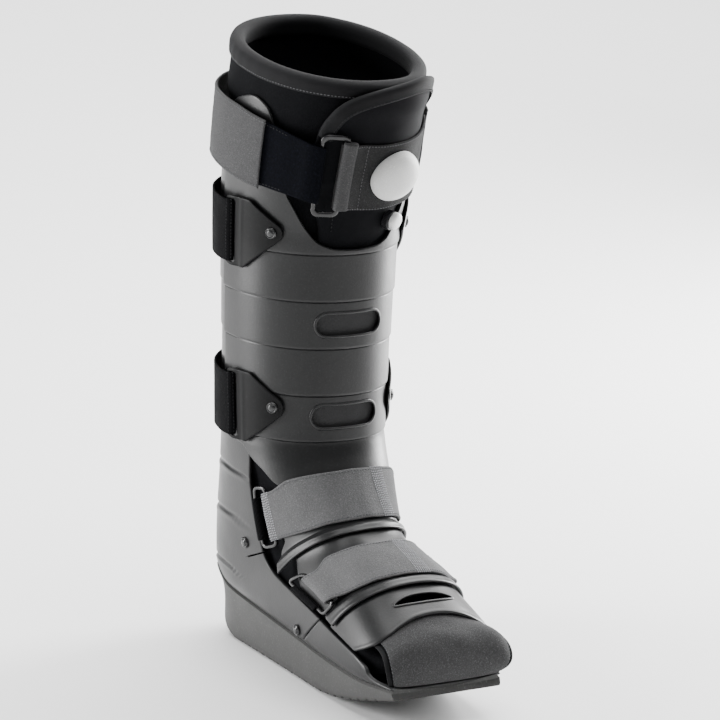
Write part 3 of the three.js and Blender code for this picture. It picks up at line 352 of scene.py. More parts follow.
class Face:
    """The outer face of a finished piece, kept so that seams can be laid on it."""

    def __init__(self, points, back):
        self.points = points
        self.normals = grid_normals(points)
        if np.sum(self.normals * (points - back)) < 0:
            self.normals = -self.normals
        self.down, self.across = lengths_of(points)

    def line(self, side, inset, start=0.0, end=1.0):
        """Points and normals along a border, some millimetres in: top, bottom, left (the first) or right."""
        points, normals, lengths = self.points, self.normals, self.down
        if side in ("left", "right"):
            points, normals, lengths = points.swapaxes(0, 1), normals.swapaxes(0, 1), self.across.T
        found = [[], []]
        count = lengths.shape[1]
        for j in range(int(start * (count - 1)), int(end * (count - 1)) + 1):
            at = inset if side in ("top", "left") else lengths[-1, j] - inset
            for grid, line in zip((points, normals), found):
                line.append([np.interp(at, lengths[:, j], grid[:, j, k]) for k in range(3)])
        return np.array(found[0]), unit(np.array(found[1]))

    def path(self, places):
        """Points and normals along a path of shares [across, down] of the face."""
        rows, columns = self.points.shape[:2]
        out = [[], []]
        for u, v in places:
            x, y = u * (columns - 1), v * (rows - 1)
            i, j = min(int(y), rows - 2), min(int(x), columns - 2)
            s, t = y - i, x - j
            for grid, line in zip((self.points, self.normals), out):
                upper, lower = (mix(grid[k, j], grid[k, j + 1], t) for k in (i, i + 1))
                line.append(mix(upper, lower, s))
        return np.array(out[0]), unit(np.array(out[1]))


def between(name, face, back, material, radius):
    """A wall between two grids of points, with its borders rounded."""
    mid, half = (face + back) / 2, (face - back) / 2
    size = np.linalg.norm(half, axis=-1)
    down, across = lengths_of(mid)
    near = np.minimum(np.minimum(down, down[-1] - down), np.minimum(across, across[:, -1:] - across))
    radius = np.minimum(radius, size * 0.92)
    drawn = radius * (1 - np.sqrt(1 - (1 - np.clip(near / radius, 0, 1)) ** 2))
    half = unit(half) * (size - drawn)[..., None]
    face, back = mid + half, mid - half
    rows, columns = face.shape[:2]
    index = np.arange(rows * columns * 2).reshape(2, rows, columns)
    quads = [grid_quads(index[0]), grid_quads(index[1, ::-1]),
             strip(index[1, 0], index[0, 0]), strip(index[0, -1], index[1, -1]),
             strip(index[0, :, 0], index[1, :, 0]), strip(index[1, :, -1], index[0, :, -1])]
    uv = np.stack([across, down], -1).reshape(-1, 2)
    points = np.concatenate([face.reshape(-1, 3), back.reshape(-1, 3)])
    obj = piece(name, points, np.concatenate(quads), material, uv=np.concatenate([uv, uv]),
                edge=np.concatenate([near.ravel(), near.ravel()]))
    return obj, Face(face, back)


def layer(name, rows, angles, inner, outer, material, radius):
    """A wall that follows the body between two offsets."""
    return between(name, body(rows, angles, outer), body(rows, angles, inner), material, radius)


def thick(name, points, thickness, material, wave, seed):
    """A wall of even thickness around a grid of points, softly waved."""
    normals = grid_normals(points)
    if np.sum(normals * (points - points.mean((0, 1)))) < 0:
        normals = -normals
    shift = (ripple(points, STRAP_WAVES, seed) * wave)[..., None] * normals if wave else 0.0
    half = normals * thickness / 2
    return between(name, points + half + shift, points - half + shift, material, thickness / 2)


def spaced(count, span, radius):
    """Shares from 0 to 1 with extra lines at both ends, so that a border of that radius comes out round."""
    ends = radius / span * np.array([0, 0.06, 0.25, 0.55, 1.0])
    return np.concatenate([ends[:-1], np.linspace(ends[-1], 1 - ends[-1], count), (1 - ends[:-1])[::-1]])


def curve_through(route, step, closed=False):
    """A smooth line through points of any dimension, about one point for each step of its length."""
    route = np.asarray(route, float)
    count = len(route)
    out = []
    for i in range(count if closed else count - 1):
        b, c = route[i], route[(i + 1) % count]
        a = route[i - 1] if closed or i > 0 else 2 * b - c
        d = route[(i + 2) % count] if closed or i + 2 < count else 2 * c - b
        ta, tb, tc = (max(np.linalg.norm(q - p), 1e-6) ** 0.5 for p, q in ((a, b), (b, c), (c, d)))
        start_slope = ((b - a) / ta - (c - a) / (ta + tb) + (c - b) / tb) * tb
        end_slope = ((c - b) / tb - (d - b) / (tb + tc) + (d - c) / tc) * tb
        number = max(int(np.ceil(np.linalg.norm(c - b) / step)), 1)
        out += [hermite(b, c, start_slope, end_slope, t) for t in np.arange(number) / number]
    if not closed:
        out.append(route[-1])
    return np.array(out)


# Waves of a strap's face and the spacing of its lines, in millimetres
STRAP_WAVES, STRAP_LINES = 24, 1.8


def band(name, path, thickness, edges, material, wave, step=0.9, seed=1):
    """A strap: a path of [degrees, offset] with a thickness, between an upper and a lower row."""
    line = curve_through(path, step)
    radius = thickness / 2
    length = len(line) * step
    at = spaced(len(line), length, radius) * (len(line) - 1)
    low = np.minimum(at.astype(int), len(line) - 2)
    line = mix(line[low], line[low + 1], (at - low)[:, None])
    upper, lower = edges(line[:, 0])
    width = np.linalg.norm(body(upper[0], line[0, 0]) - body(lower[0], line[0, 0]))
    share = spaced(int(width / STRAP_LINES), width, radius)[:, None]
    points = body(mix(upper, lower, share), line[None, :, 0], line[None, :, 1])
    return thick(name, points, thickness, material, wave, seed)


def wire(name, points, normals, half_width, half_depth, material, sides=14, closed=True):
    """A bar of rounded section along a line of points that lies on a surface."""
    if closed:
        along = unit(np.roll(points, -1, 0) - np.roll(points, 1, 0))
    else:
        along = unit(np.gradient(points, axis=0))
    up = unit(normals - along * np.sum(normals * along, -1, keepdims=True))
    side = np.cross(along, up)
    turn = full_turn(sides)
    squared = [signed_power(wave, 0.75) for wave in (np.cos(turn), np.sin(turn))]
    ring = (points[:, None] + up[:, None] * (squared[0] * half_depth)[None, :, None]
            + side[:, None] * (squared[1] * np.reshape(half_width, (-1, 1)))[..., None])
    return rings_piece(name, ring, material, closed)


def rings_piece(name, rings, material, closed=False, uv=False, sharp=None):
    """Rings of points joined to a loop, or closed at both ends by a fan."""
    rings = np.asarray(rings)
    count, sides = rings.shape[:2]
    index = np.arange(count * sides).reshape(count, sides)
    down, across = lengths_of(rings)
    flat = np.stack([across, down], -1).reshape(-1, 2) if uv else None
    if closed:
        quads = grid_quads(np.vstack([index, index[:1]]), True)
        return piece(name, rings.reshape(-1, 3), quads, material, uv=flat, sharp=sharp)
    ends = [np.stack([np.full(sides, count * sides), np.roll(index[0], -1), index[0]], -1),
            np.stack([np.full(sides, count * sides + 1), index[-1], np.roll(index[-1], -1)], -1)]
    points = np.concatenate([rings.reshape(-1, 3), rings[:1].mean(1), rings[-1:].mean(1)])
    if uv:
        flat = np.concatenate([flat, flat[:1], flat[-1:]])
    quads = grid_quads(index, True)
    return piece(name, points, quads, material, tris=np.concatenate(ends), uv=flat, sharp=sharp)


def turned(profile, segments=48):
    """Rings of a turned piece from (radius, height) pairs that start and end on the axis."""
    turn = full_turn(segments)
    profile = np.asarray(profile, float)
    radius = np.maximum(profile[:, :1], 0.01)
    return np.stack([radius * np.cos(turn), radius * np.sin(turn), profile[:, 1:] + 0 * turn], -1)


def standing(points, row, angle, offset):
    """Points moved so that their Z axis stands out of the body at a place."""
    z = outward(row, angle)
    x = unit(np.cross([0, 0, 1], z))
    y = np.cross(z, x)
    return body(row, angle, offset) + points[..., :1] * x + points[..., 1:2] * y + points[..., 2:] * z


def rounded_loop(half_height, half_width, radius, step):
    """A rectangle with round corners as (u, v) pairs in millimetres."""
    points = []
    for corner, (su, sv) in enumerate(((1, 1), (-1, 1), (-1, -1), (1, -1))):
        for turn in np.radians(np.linspace(0, 90, 9) + corner * 90):
            points.append([su * (half_width - radius) + radius * math.cos(turn),
                           sv * (half_height - radius) + radius * math.sin(turn)])
    points = np.array(points + points[:1])
    length = np.append(0, np.cumsum(np.linalg.norm(np.diff(points, axis=0), axis=1)))
    at = np.linspace(0, length[-1], int(length[-1] / step), endpoint=False)
    return np.stack([np.interp(at, length, points[:, k]) for k in (0, 1)], -1)


# Node trees

class Link:
    """A node's output that can be added, subtracted and multiplied."""

    def __init__(self, tree, socket=None):
        self.tree = tree
        self.socket = socket

    def node(self, kind, inputs=None, output=0, **settings):
        node = self.tree.nodes.new(kind)
        for name, value in settings.items():
            setattr(node, name, value)
        for key, value in (inputs or {}).items():
            if isinstance(value, Link):
                self.tree.links.new(value.socket, node.inputs[key])
            else:
                node.inputs[key].default_value = value
        return Link(self.tree, node.outputs[output])

    def math(self, operation, *values, clamp=False):
        return self.node("ShaderNodeMath", dict(enumerate(values)), operation=operation, use_clamp=clamp)

    def __add__(self, other):
        return self.math("ADD", self, other)

    __radd__ = __add__

    def __sub__(self, other):
        return self.math("SUBTRACT", self, other)

    def __rsub__(self, other):
        return self.math("SUBTRACT", other, self)

    def __mul__(self, other):
        return self.math("MULTIPLY", self, other)

    __rmul__ = __mul__

    def between(self, low, high):
        """0 at low and 1 at high, clamped."""
        return self.math("MULTIPLY_ADD", self, 1 / (high - low), -low / (high - low), clamp=True)

    def blend(self, low, high):
        """A colour between two colours."""
        return self.node("ShaderNodeMix", {0: self, 6: low, 7: high}, output=2, data_type="RGBA")

    def part(self, axis):
        return self.node("ShaderNodeSeparateXYZ", {0: self}, output=axis)


class Finish:
    """A material: constants go to the shader's own sockets, patterns to its colour, roughness and height."""

    def __init__(self, name, **constants):
        self.material = bpy.data.materials.new(name)
        self.material.use_nodes = True
        tree = self.material.node_tree
        self.shader = next(node for node in tree.nodes if node.type == "BSDF_PRINCIPLED")
        named = {socket.name.lower().replace(" ", "_"): socket for socket in self.shader.inputs}
        for key, value in constants.items():
            named[key].default_value = value
        self.start = Link(tree)
        self.place = self.start.node("ShaderNodeTexCoord", output="Object")
        self.flat = self.start.node("ShaderNodeTexCoord", output="UV")

    def noise(self, scale, detail, roughness=0.5):
        inputs = {"Vector": self.place, "Scale": scale, "Detail": detail, "Roughness": roughness}
        return self.start.node("ShaderNodeTexNoise", inputs)

    def cells(self, scale):
        return self.start.node("ShaderNodeTexVoronoi", {"Vector": self.place, "Scale": scale})

    def edge(self):
        """Millimetres from the piece's border."""
        return self.start.node("ShaderNodeAttribute", output="Fac", attribute_name="edge")

    def give(self, socket, link):
        self.start.tree.links.new(link.socket, self.shader.inputs[socket])

    def relief(self, height, depth):
        bump = self.start.node("ShaderNodeBump", {"Height": height, "Distance": depth * MM, "Strength": 1.0})
        self.give("Normal", bump)


# How pale a moulded border is painted, partly wear and partly a painted highlight, and how far in, in
# millimetres, and the heights of the liner's shin in metres
EDGE_WEAR_AND_HIGHLIGHT, EDGE_WEAR_AND_HIGHLIGHT_WIDTH = 0.6, (0.2, 1.5)
SHIN_FROM, SHIN_TO = (0.150, 0.180), (0.330, 0.310)


def tint(colour, factor):
    return tuple(min(part * factor, 1.0) for part in colour[:3]) + (1.0,)


def moulded(name, colour, roughness, grain=700.0, depth=0.085, spread=0.16, bordered=True, **constants):
    """Moulded plastic: a fine grain, a cloudy tone and paler borders, partly wear and partly a painted
    highlight.
    """
    finish = Finish(name, **constants)
    broad = finish.noise(11.0, 4.0, 0.6)
    fine = finish.noise(grain, 3.0, 0.7)
    cells = finish.cells(grain * 0.8)
    tone = broad.blend(tint(colour, 1 - spread), tint(colour, 1 + spread))
    speck = fine.between(0.54, 0.76) * 0.6
    tone = speck.blend(tone, tint(colour, 3.0))
    if bordered:
        # Paler borders: partly wear and partly a painted edge highlight along the rims
        rubbed_and_lit = (1.0 - finish.edge().between(*EDGE_WEAR_AND_HIGHLIGHT_WIDTH)) * EDGE_WEAR_AND_HIGHLIGHT
        tone = (rubbed_and_lit * finish.noise(120.0, 3.0).between(0.25, 0.6)).blend(tone, tint(colour, 2.1))
    finish.give("Base Color", tone)
    finish.give("Roughness", roughness + (finish.noise(60.0, 3.0) - 0.5) * 0.16 + (fine - 0.5) * 0.12)
    finish.relief(fine * 0.7 + cells * 0.3, depth)
    return finish.material


def pile(name, colour, fleck, scale, amount, depth, spread=0.18, shin=None, **constants):
    """Brushed loop or knitted cloth: tangled fibres with paler flecks, and a tone of its own at the shin."""
    finish = Finish(name, **constants)
    broad = finish.noise(22.0, 3.0, 0.6)
    fibres = finish.noise(scale, 4.0, 0.75)
    tangle = finish.cells(scale * 0.55)
    tone = broad.blend(tint(colour, 1 - spread), tint(colour, 1 + spread))
    shade = tangle.between(0.05, 0.6)
    tone = (shade * 0.35).blend(tone, tint(colour, 0.55))
    tone = (fibres.between(0.52, 0.70) * amount).blend(tone, fleck)
    if shin:
        height = finish.place.part(2)
        tone = (height.between(*SHIN_TO) * height.between(*SHIN_FROM)).blend(tone, shin)
    finish.give("Base Color", tone)
    finish.give("Roughness", 0.90 + (fibres - 0.5) * 0.12)
    finish.relief(fibres * 0.6 + tangle * 0.5, depth)
    return finish.material


def woven(name, colour, fleck, thread, depth, spread=0.15, **constants):
    """Plain-woven tape or webbing, with its threads along and across the piece."""
    finish = Finish(name, **constants)
    wander = (finish.noise(240.0, 2.0) - 0.5) * 0.0006
    u = (finish.flat.part(0) + wander) * (2 * math.pi / (thread * MM))
    v = (finish.flat.part(1) + wander) * (2 * math.pi / (thread * MM))
    over = u.math("SINE", u) * v.math("SINE", v)
    ribs = (v * 2.0).math("SINE", v * 2.0) * 0.5 + 0.5
    weave = over * 0.35 + ribs * 0.3 + finish.noise(1500.0, 3.0, 0.7) * 0.5
    broad = finish.noise(26.0, 3.0, 0.6)
    tone = broad.blend(tint(colour, 1 - spread), tint(colour, 1 + spread))
    tone = (weave.between(0.2, 0.95) * 0.55).blend(tone, fleck)
    finish.give("Base Color", tone)
    finish.give("Roughness", 0.86 + (weave - 0.5) * 0.1)
    finish.relief(weave, depth)
    return finish.material


MATERIALS = {}
BRUSHED = {"specular_ior_level": 0.1, "sheen_roughness": 0.4}


def material(name):
    """The finishes, made once from the colours of the panel."""
    if MATERIALS:
        return MATERIALS[name]
    colours = bpy.context.scene.boot_colours
    grey, black, binding = colours.grey_strap, colours.black_strap, colours.binding
    MATERIALS.update({
        "shell": moulded("shell_plastic", colours.shell, 0.38, specular_ior_level=0.36),
        "sole": moulded("sole_rubber", colours.sole, 0.62, grain=650.0, depth=0.09, bordered=False,
                        specular_ior_level=0.4),
        "liner": pile("liner_knit", colours.liner, tint(colours.liner, 2.6), 1100.0, 0.5, 0.2,
                      shin=tint(grey, 0.75), specular_ior_level=0.08),
        "flap": pile("flap_cloth", tint(colours.liner, 1.3), tint(colours.liner, 3.2), 1300.0, 0.35, 0.12,
                     sheen_weight=0.01, **BRUSHED),
        "binding": woven("binding_tape", binding, tint(binding, 2.0), 0.8, 0.05, specular_ior_level=0.2,
                         sheen_weight=0.02, sheen_roughness=0.35),
        "cover": pile("cover_knit", tint(grey, 0.82), tint(grey, 2.4), 1100.0, 0.6, 0.3,
                      sheen_weight=0.02, **BRUSHED),
        "grey": pile("grey_loop", grey, tint(grey, 2.2), 1250.0, 0.7, 0.4, sheen_weight=0.03, **BRUSHED),
        "strap": pile("strap_loop", tint(grey, 1.9), tint(grey, 4.0), 1250.0, 0.7, 0.4,
                      sheen_weight=0.03, **BRUSHED),
        "pad": pile("pad_loop", tint(grey, 0.42), tint(grey, 1.4), 1250.0, 0.6, 0.4,
                    sheen_weight=0.02, **BRUSHED),
        "black": pile("black_loop", black, tint(black, 6.0), 820.0, 0.45, 0.35, specular_ior_level=0.06),
        "webbing": woven("black_webbing", tint(binding, 0.5), tint(binding, 2.2), 2.0, 0.5,
                         specular_ior_level=0.06),
        "bracket": moulded("bracket_satin", colours.bracket, 0.36, grain=500.0, depth=0.012, spread=0.10,
                           specular_ior_level=0.1),
        "rivet": moulded("rivet_satin", colours.rivet, 0.28, grain=500.0, depth=0.01, bordered=False),
        "ring": moulded("ring_gloss", colours.ring, 0.25, grain=400.0, depth=0.01, bordered=False),
        "bulb": moulded("bulb_matt", colours.bulb, 0.50, grain=1100.0, depth=0.03, spread=0.03,
                        bordered=False),
        "valve": moulded("valve_black", colours.valve, 0.42, grain=500.0, depth=0.02, bordered=False),
        "cap": moulded("valve_white", colours.cap, 0.35, depth=0.01, spread=0.02, bordered=False),
        "thread": pile("thread", colours.thread, tint(colours.thread, 1.5), 2500.0, 0.5, 0.05),
        "pale_thread": pile("pale_thread", tint(colours.thread, 5.0), tint(colours.thread, 6.5), 2500.0,
                            0.5, 0.05),
        "dark_thread": pile("dark_thread", tint(black, 0.9), tint(black, 2.5), 2500.0, 0.5, 0.05),
    })
    return MATERIALS[name]


def node_inputs(tree, sockets):
    """Adds geometry in and out and the named inputs to a tree, and gives a link for each input."""
    tree.interface.new_socket("Geometry", in_out="INPUT", socket_type="NodeSocketGeometry")
    for name, kind in sockets.items():
        tree.interface.new_socket(name, in_out="INPUT", socket_type=f"NodeSocket{kind}")
    tree.interface.new_socket("Geometry", in_out="OUTPUT", socket_type="NodeSocketGeometry")
    group = tree.nodes.new("NodeGroupInput")
    return {socket.name: Link(tree, socket) for socket in group.outputs if socket.name}


def close_tree(tree, last, finish):
    """Real geometry with a material, then the output."""
    start = Link(tree)
    real = start.node("GeometryNodeRealizeInstances", {0: last})
    painted = start.node("GeometryNodeSetMaterial", {"Geometry": real, "Material": finish})
    out = tree.nodes.new("NodeGroupOutput")
    tree.links.new(painted.socket, out.inputs[0])


def uneven(start, low, high, seed):
    """A slightly different number for each copy, the same each run."""
    inputs = {2: low, 3: high, "Seed": seed}
    return start.node("FunctionNodeRandomValue", inputs, output=1, data_type="FLOAT")


def stitch_tree():
    """Stitches along lines: the spacing, and one stitch's length, width and height."""
    if "stitches" in bpy.data.node_groups:
        return bpy.data.node_groups["stitches"]
    tree = bpy.data.node_groups.new("stitches", "GeometryNodeTree")
    given = node_inputs(tree, {"Spacing": "Float", "Stitch Length": "Float", "Stitch Width": "Float",
                               "Stitch Height": "Float", "Thread": "Material"})
    start = Link(tree)
    curve = start.node("GeometryNodeMeshToCurve", {0: given["Geometry"]})
    dots = start.node("GeometryNodeResampleCurve", {"Curve": curve, "Length": given["Spacing"]},
                      mode="LENGTH")
    bead = start.node("GeometryNodeMeshUVSphere", {"Segments": 8, "Rings": 5, "Radius": 0.5})
    bead = start.node("GeometryNodeSetShadeSmooth", {0: bead})
    lift = start.node("GeometryNodeInputNamedAttribute", {"Name": "lift"}, data_type="FLOAT_VECTOR")
    along = start.node("GeometryNodeInputTangent")
    turn = start.node("FunctionNodeAxesToRotation", {0: lift, 1: along}, primary_axis="Z", secondary_axis="X")
    size = start.node("ShaderNodeCombineXYZ", {0: given["Stitch Length"] * uneven(start, 0.88, 1.1, 7),
                                               1: given["Stitch Width"], 2: given["Stitch Height"]})
    copies = start.node("GeometryNodeInstanceOnPoints",
                        {"Points": dots, "Instance": bead, "Rotation": turn, "Scale": size})
    close_tree(tree, copies, given["Thread"])
    return tree


def copies_tree():
    """Copies of a small object on points, standing along each point's lift."""
    if "copies" in bpy.data.node_groups:
        return bpy.data.node_groups["copies"]
    tree = bpy.data.node_groups.new("copies", "GeometryNodeTree")
    given = node_inputs(tree, {"Piece": "Object", "Size": "Float", "Finish": "Material"})
    start = Link(tree)
    shape = start.node("GeometryNodeObjectInfo", {"Object": given["Piece"]}, output="Geometry")
    lift = start.node("GeometryNodeInputNamedAttribute", {"Name": "lift"}, data_type="FLOAT_VECTOR")
    along = start.node("GeometryNodeInputNamedAttribute", {"Name": "along"}, data_type="FLOAT_VECTOR")
    turn = start.node("FunctionNodeAxesToRotation", {0: lift, 1: along}, primary_axis="Z", secondary_axis="X")
    size = given["Size"] * uneven(start, 0.995, 1.005, 11)
    copies = start.node("GeometryNodeInstanceOnPoints",
                        {"Points": given["Geometry"], "Instance": shape, "Rotation": turn, "Scale": size})
    close_tree(tree, copies, given["Finish"])
    return tree


def run_tree(obj, tree, values):
    """Puts a tree on an object with its named inputs, and keeps the result as a plain mesh."""
    modifier = obj.modifiers.new(tree.name, "NODES")
    modifier.node_group = tree
    for item in tree.interface.items_tree:
        if item.item_type == "SOCKET" and item.in_out == "INPUT" and item.name in values:
            modifier[item.identifier] = values[item.name]
    finish_mesh(obj)


def guide(name, lines, along=None):
    """A mesh of lines or loose points with their lift, for a tree to work on."""
    points = np.concatenate([line[0] for line in lines])
    lifts = np.concatenate([line[1] for line in lines])
    edges = []
    first = 0
    for line in lines:
        if along is None:
            edges += [(first + i, first + i + 1) for i in range(len(line[0]) - 1)]
        first += len(line[0])
    mesh = bpy.data.meshes.new(name)
    mesh.from_pydata((points * MM).tolist(), edges, [])
    for key, vectors in (("lift", lifts), ("along", along)):
        if vectors is not None:
            attribute = mesh.attributes.new(key, "FLOAT_VECTOR", "POINT")
            attribute.data.foreach_set("vector", np.asarray(vectors, np.float32).ravel())
    obj = bpy.data.objects.new(name, mesh)
    bpy.context.scene.collection.objects.link(obj)
    return obj


STITCH_PROUD = 0.12


def sew(name, lines, slot, thread="thread", spacing=None, length=None, width=None):
    """Stitches along lines of points and normals in millimetres."""
    sizes = bpy.context.scene.boot_sizes
    lifted = [(points + normals * STITCH_PROUD, normals) for points, normals in lines]
    obj = guide(name, lifted)
    run_tree(obj, stitch_tree(), {
        "Spacing": (spacing * MM) if spacing else sizes.stitch_spacing,
        "Stitch Length": (length * MM) if length else sizes.stitch_length,
        "Stitch Width": (width * MM) if width else sizes.stitch_width,
        "Stitch Height": sizes.stitch_height,
        "Thread": material(thread),
    })
    settle(obj, slot)


def strew(name, places, shape, finish):
    """Copies of a small shape at places (point, lift, along) in millimetres."""
    points, lifts, along = (np.array([place[k] for place in places]) for k in range(3))
    obj = guide(name, [(points, lifts)], along)
    run_tree(obj, copies_tree(), {"Piece": shape, "Size": 1.0, "Finish": material(finish)})
    bpy.data.meshes.remove(shape.data)
    return obj


# Layers of the boot, as in the solids

def liner_outer(row, angle):
    """The liner's outer face lies back wherever another layer covers it."""
    turn = np.abs((angle + 900) % 360 - 180)
    in_shell = smooth(0.9, 1.4, row) * (SHELL_WALL + GAP)
    beside = smooth(8.6, 9.4, row) * smooth(112, 100, turn) * WEBBING * 1.8
    behind = smooth(52, 72, turn) * (in_shell + beside)
    under_flap = smooth(2.3, 2.7, row) * smooth(4.9, 4.5, row) * smooth(50, 42, turn)
    under_plates = smooth(9, 9.6, row) * smooth(76, 66, turn) * GAP
    under_cover = smooth(15, 15.5, row) * smooth(84, 68, turn) * (COVER_WALL + GAP)
    return -behind - under_flap * (FLAP_WALL + FLAP_GAP + GAP) - under_plates - under_cover


def flap_inner(row, angle):
    return liner_outer(row, angle) + FLAP_GAP + smooth(1.1, 0.5, row) * (TAPE + GAP * 3)


def band_relief(row):
    """Each band of the shaft swells to a round lip at its lower edge, with a fine groove under it."""
    within = row - np.floor(row)
    lip = np.clip((within - 0.955) / 0.045, 0, 1)
    rise = within - 0.45 * lip ** 2
    groove = np.clip(1 - within / 0.022, 0, 1) * 0.35
    inside = (row > 4) & (row < 8)
    first = smooth(3.45, 3.95, row) * np.where(row < 4, 1 - 0.45 * lip ** 2, 0)
    return BAND * (np.where(inside, rise, 0) + first - np.where((row >= 4) & (row < 8.3), groove, 0))


# Close lines round a step between two bands, in rows from it
STEP_LINES = np.array([
    -0.07, -0.045, -0.032, -0.02, -0.011, -0.005, -0.0006, 0.0006, 0.006, 0.013, 0.022, 0.04,
])


def rows_between(start, end, pitch, angle, marks=()):
    """Rows about pitch millimetres apart at an angle, with close lines round each mark."""
    rows = [start]
    while rows[-1] < end:
        rows.append(rows[-1] + pitch / float(row_pitch(rows[-1], angle)))
    rows = np.array(rows[:-1])
    close = np.concatenate([mark + STEP_LINES for mark in marks]) if marks else np.zeros(0)
    for mark in marks:
        rows = rows[(rows < mark + STEP_LINES[0]) | (rows > mark + STEP_LINES[-1])]
    return np.sort(np.concatenate([rows, close[(close > start) & (close < end)], [end]]))


def side_edges(table):
    return lambda angle: (look(table, np.abs(angle), 1), look(table, np.abs(angle), 2))


def round_edges(table):
    return lambda angle: (look(table, angle, 1), look(table, angle, 2))


def even_edges(upper_row, lower_row):
    return lambda angle: (upper_row + 0 * angle, lower_row + 0 * angle)


def mirrored(path):
    """A path from the front to one side, with the other side put before it."""
    return [[-angle, offset] for angle, offset in path[:0:-1]] + [list(place) for place in path]


def fold(bar, radius, pitch, turns):
    """The end of a strap bent round a bar."""
    return [[bar[0] + math.sin(math.radians(turn)) * radius / pitch,
             bar[1] + math.cos(math.radians(turn)) * radius] for turn in turns]


# Hard shells

# The front shell's two windows: their rows, the straight half of their width and their round ends
WINDOW_ROWS, WINDOW_REACH, WINDOW_RADIUS = (5.48, 7.42), 19.0, 9.0
RIM_OVER = 0.35


def make_front_shell():
    angles = (spaced(166, 200, 0.9) * 2 - 1) * 98
    near_edge = np.array([0, 0.0008, 0.003, 0.006, 0.01, 0.02])
    shares = np.concatenate([near_edge, np.linspace(0.035, 1, 52)])
    rows = rows_between(3.94, 8.06, 2.2, 60, (4, 5, 6, 7, 8))
    top, bottom = look(FRONT_TOP, np.abs(angles)), look(FRONT_BOTTOM, np.abs(angles))
    upper = mix(top, np.maximum(3.94, top + 0.02), shares[:-1, None])
    low_shares = (1 - np.concatenate([near_edge * 2, np.linspace(0.06, 1, 24)]))[::-1]
    lower = mix(8.06, bottom, low_shares[1:, None])
    grid = np.concatenate([upper, rows[:, None] + 0 * top, lower])
    turns = np.broadcast_to(angles, grid.shape)
    outer = FRONT_OUTER + band_relief(grid) - smooth(8.3, 8.05, grid) * BAND * 0.4
    obj, _ = layer("front_shell", grid, turns, GAP, outer, material("shell"), 0.95)
    cutters, rims = [], []
    for number, row in enumerate(WINDOW_ROWS):
        centre = body(row, 0, FRONT_OUTER)
        loop = rounded_loop(WINDOW_RADIUS, WINDOW_REACH + WINDOW_RADIUS, WINDOW_RADIUS - 0.01, 1.0)
        x, z = loop[:, 0], centre[2] + loop[:, 1]
        depth = np.array([centre[1] - FRONT_WALL * 2, centre[1] + 28])
        rings = np.stack([np.stack([x, 0 * x + y, z], -1) for y in depth])
        cutters.append(rings_piece(f"window_{number}", rings, material("shell")))
        rims.append(on_body(x, z, row, FRONT_OUTER + RIM_OVER))
    cut_out(obj, cutters)
    settle(obj, "shell", "front_shell")
    for name, (points, normals) in zip(("window_rim_upper", "window_rim_lower"), rims):
        settle(wire(name, points, normals, 1.0, 0.8, material("shell")), "shell")


def on_body(x, z, row, offset):
    """Points and normals of the body's front where it has given X and Z."""
    rows = np.full(x.shape, float(row))
    angles = x / 0.95
    step = ROW_STEP / 2
    for _ in range(8):
        miss = np.stack([x, z], -1) - body(rows, angles, offset)[..., [0, 2]]
        by_row = (body(rows + step, angles, offset) - body(rows - step, angles, offset)) / ROW_STEP
        by_angle = body(rows, angles + 0.5, offset) - body(rows, angles - 0.5, offset)
        by_row, by_angle = by_row[..., [0, 2]], by_angle[..., [0, 2]]
        scale = by_row[:, 0] * by_angle[:, 1] - by_row[:, 1] * by_angle[:, 0]
        rows = rows + (miss[:, 0] * by_angle[:, 1] - miss[:, 1] * by_angle[:, 0]) / scale
        angles = angles + (by_row[:, 0] * miss[:, 1] - by_row[:, 1] * miss[:, 0]) / scale
    return body(rows, angles, offset + band_relief(rows) - BAND * 0.4), outward(rows, angles)


# Lines moulded round the heel: degrees from the front and row
HEEL_LINES = [
    np.array([[80, 9.22], [91, 9.06], [110, 8.93], [180, 8.86]]),
    np.array([[84, 10.5], [88, 10.37], [95, 10.11], [121, 9.87], [180, 9.78]]),
    np.array([[93, 12.1], [100, 11.49], [115, 11.12], [130, 10.94], [180, 10.85]]),
]
# Each line's groove and the lip under it: millimetres deep or high, then rows wide and rows below
GROOVE_DEPTH, GROOVE_WIDTH = 1.1, 0.042
LIP_HEIGHT, LIP_WIDTH, LIP_BELOW = 0.4, 0.055, 0.095
# Slits beside the shell's side flaps: row, first and last degrees; then half their width in millimetres
SLITS = ((11.36, 70, 88), (14.36, 74, 110))
SLIT_HALF = 0.6


def make_rear_shell():
    ends = np.array([0.003, 0.012, 0.03])
    rows = np.unique(np.concatenate([
        rows_between(1.5, 8.6, 2.8, 110, (4, 5, 6, 7, 8)), rows_between(8.6, 12.3, 0.95, 120),
        rows_between(12.3, 17, 3.0, 110), 1.5 + ends, 17 - ends,
    ]))
    edge = look(SHELL_SIDE, rows)[:, None]
    shares = spaced(120, 210, 1.2)
    grid = rows[:, None] + 0 * shares
    angles = -mix(edge, 360 - edge, shares)
    turn = np.abs((angles + 900) % 360 - 180)
    outer = 0.8 * band_relief(grid) - 0.8 * smooth(8.3, 8.05, grid)
    for line in HEEL_LINES:
        fade = smooth(line[0, 0] - 1, line[0, 0] + 6, turn)
        ring_row = look(line, turn)
        outer = outer - GROOVE_DEPTH * fade * np.exp(-((grid - ring_row) / GROOVE_WIDTH) ** 2)
        outer = outer + LIP_HEIGHT * fade * np.exp(-((grid - ring_row - LIP_BELOW) / LIP_WIDTH) ** 2)
    obj, _ = layer("rear_shell", grid, angles, -SHELL_WALL, outer, material("shell"), 1.2)
    cutters = []
    for row, start, end in SLITS:
        for side in (-1, 1):
            half = SLIT_HALF / float(row_pitch(row, side * start))
            turns = side * np.linspace(start, end, 24)
            cut = np.stack([row - half + 0 * turns, row + half + 0 * turns])
            tall = np.broadcast_to(turns, cut.shape)
            walls = body(cut, tall, SHELL_WALL), body(cut, tall, -SHELL_WALL * 2)
            slit, _ = between(f"slit_{side}_{row}", *walls, material("shell"), 0.01)
            cutters.append(slit)
    cut_out(obj, cutters)
    settle(obj, "shell", "rear_shell")


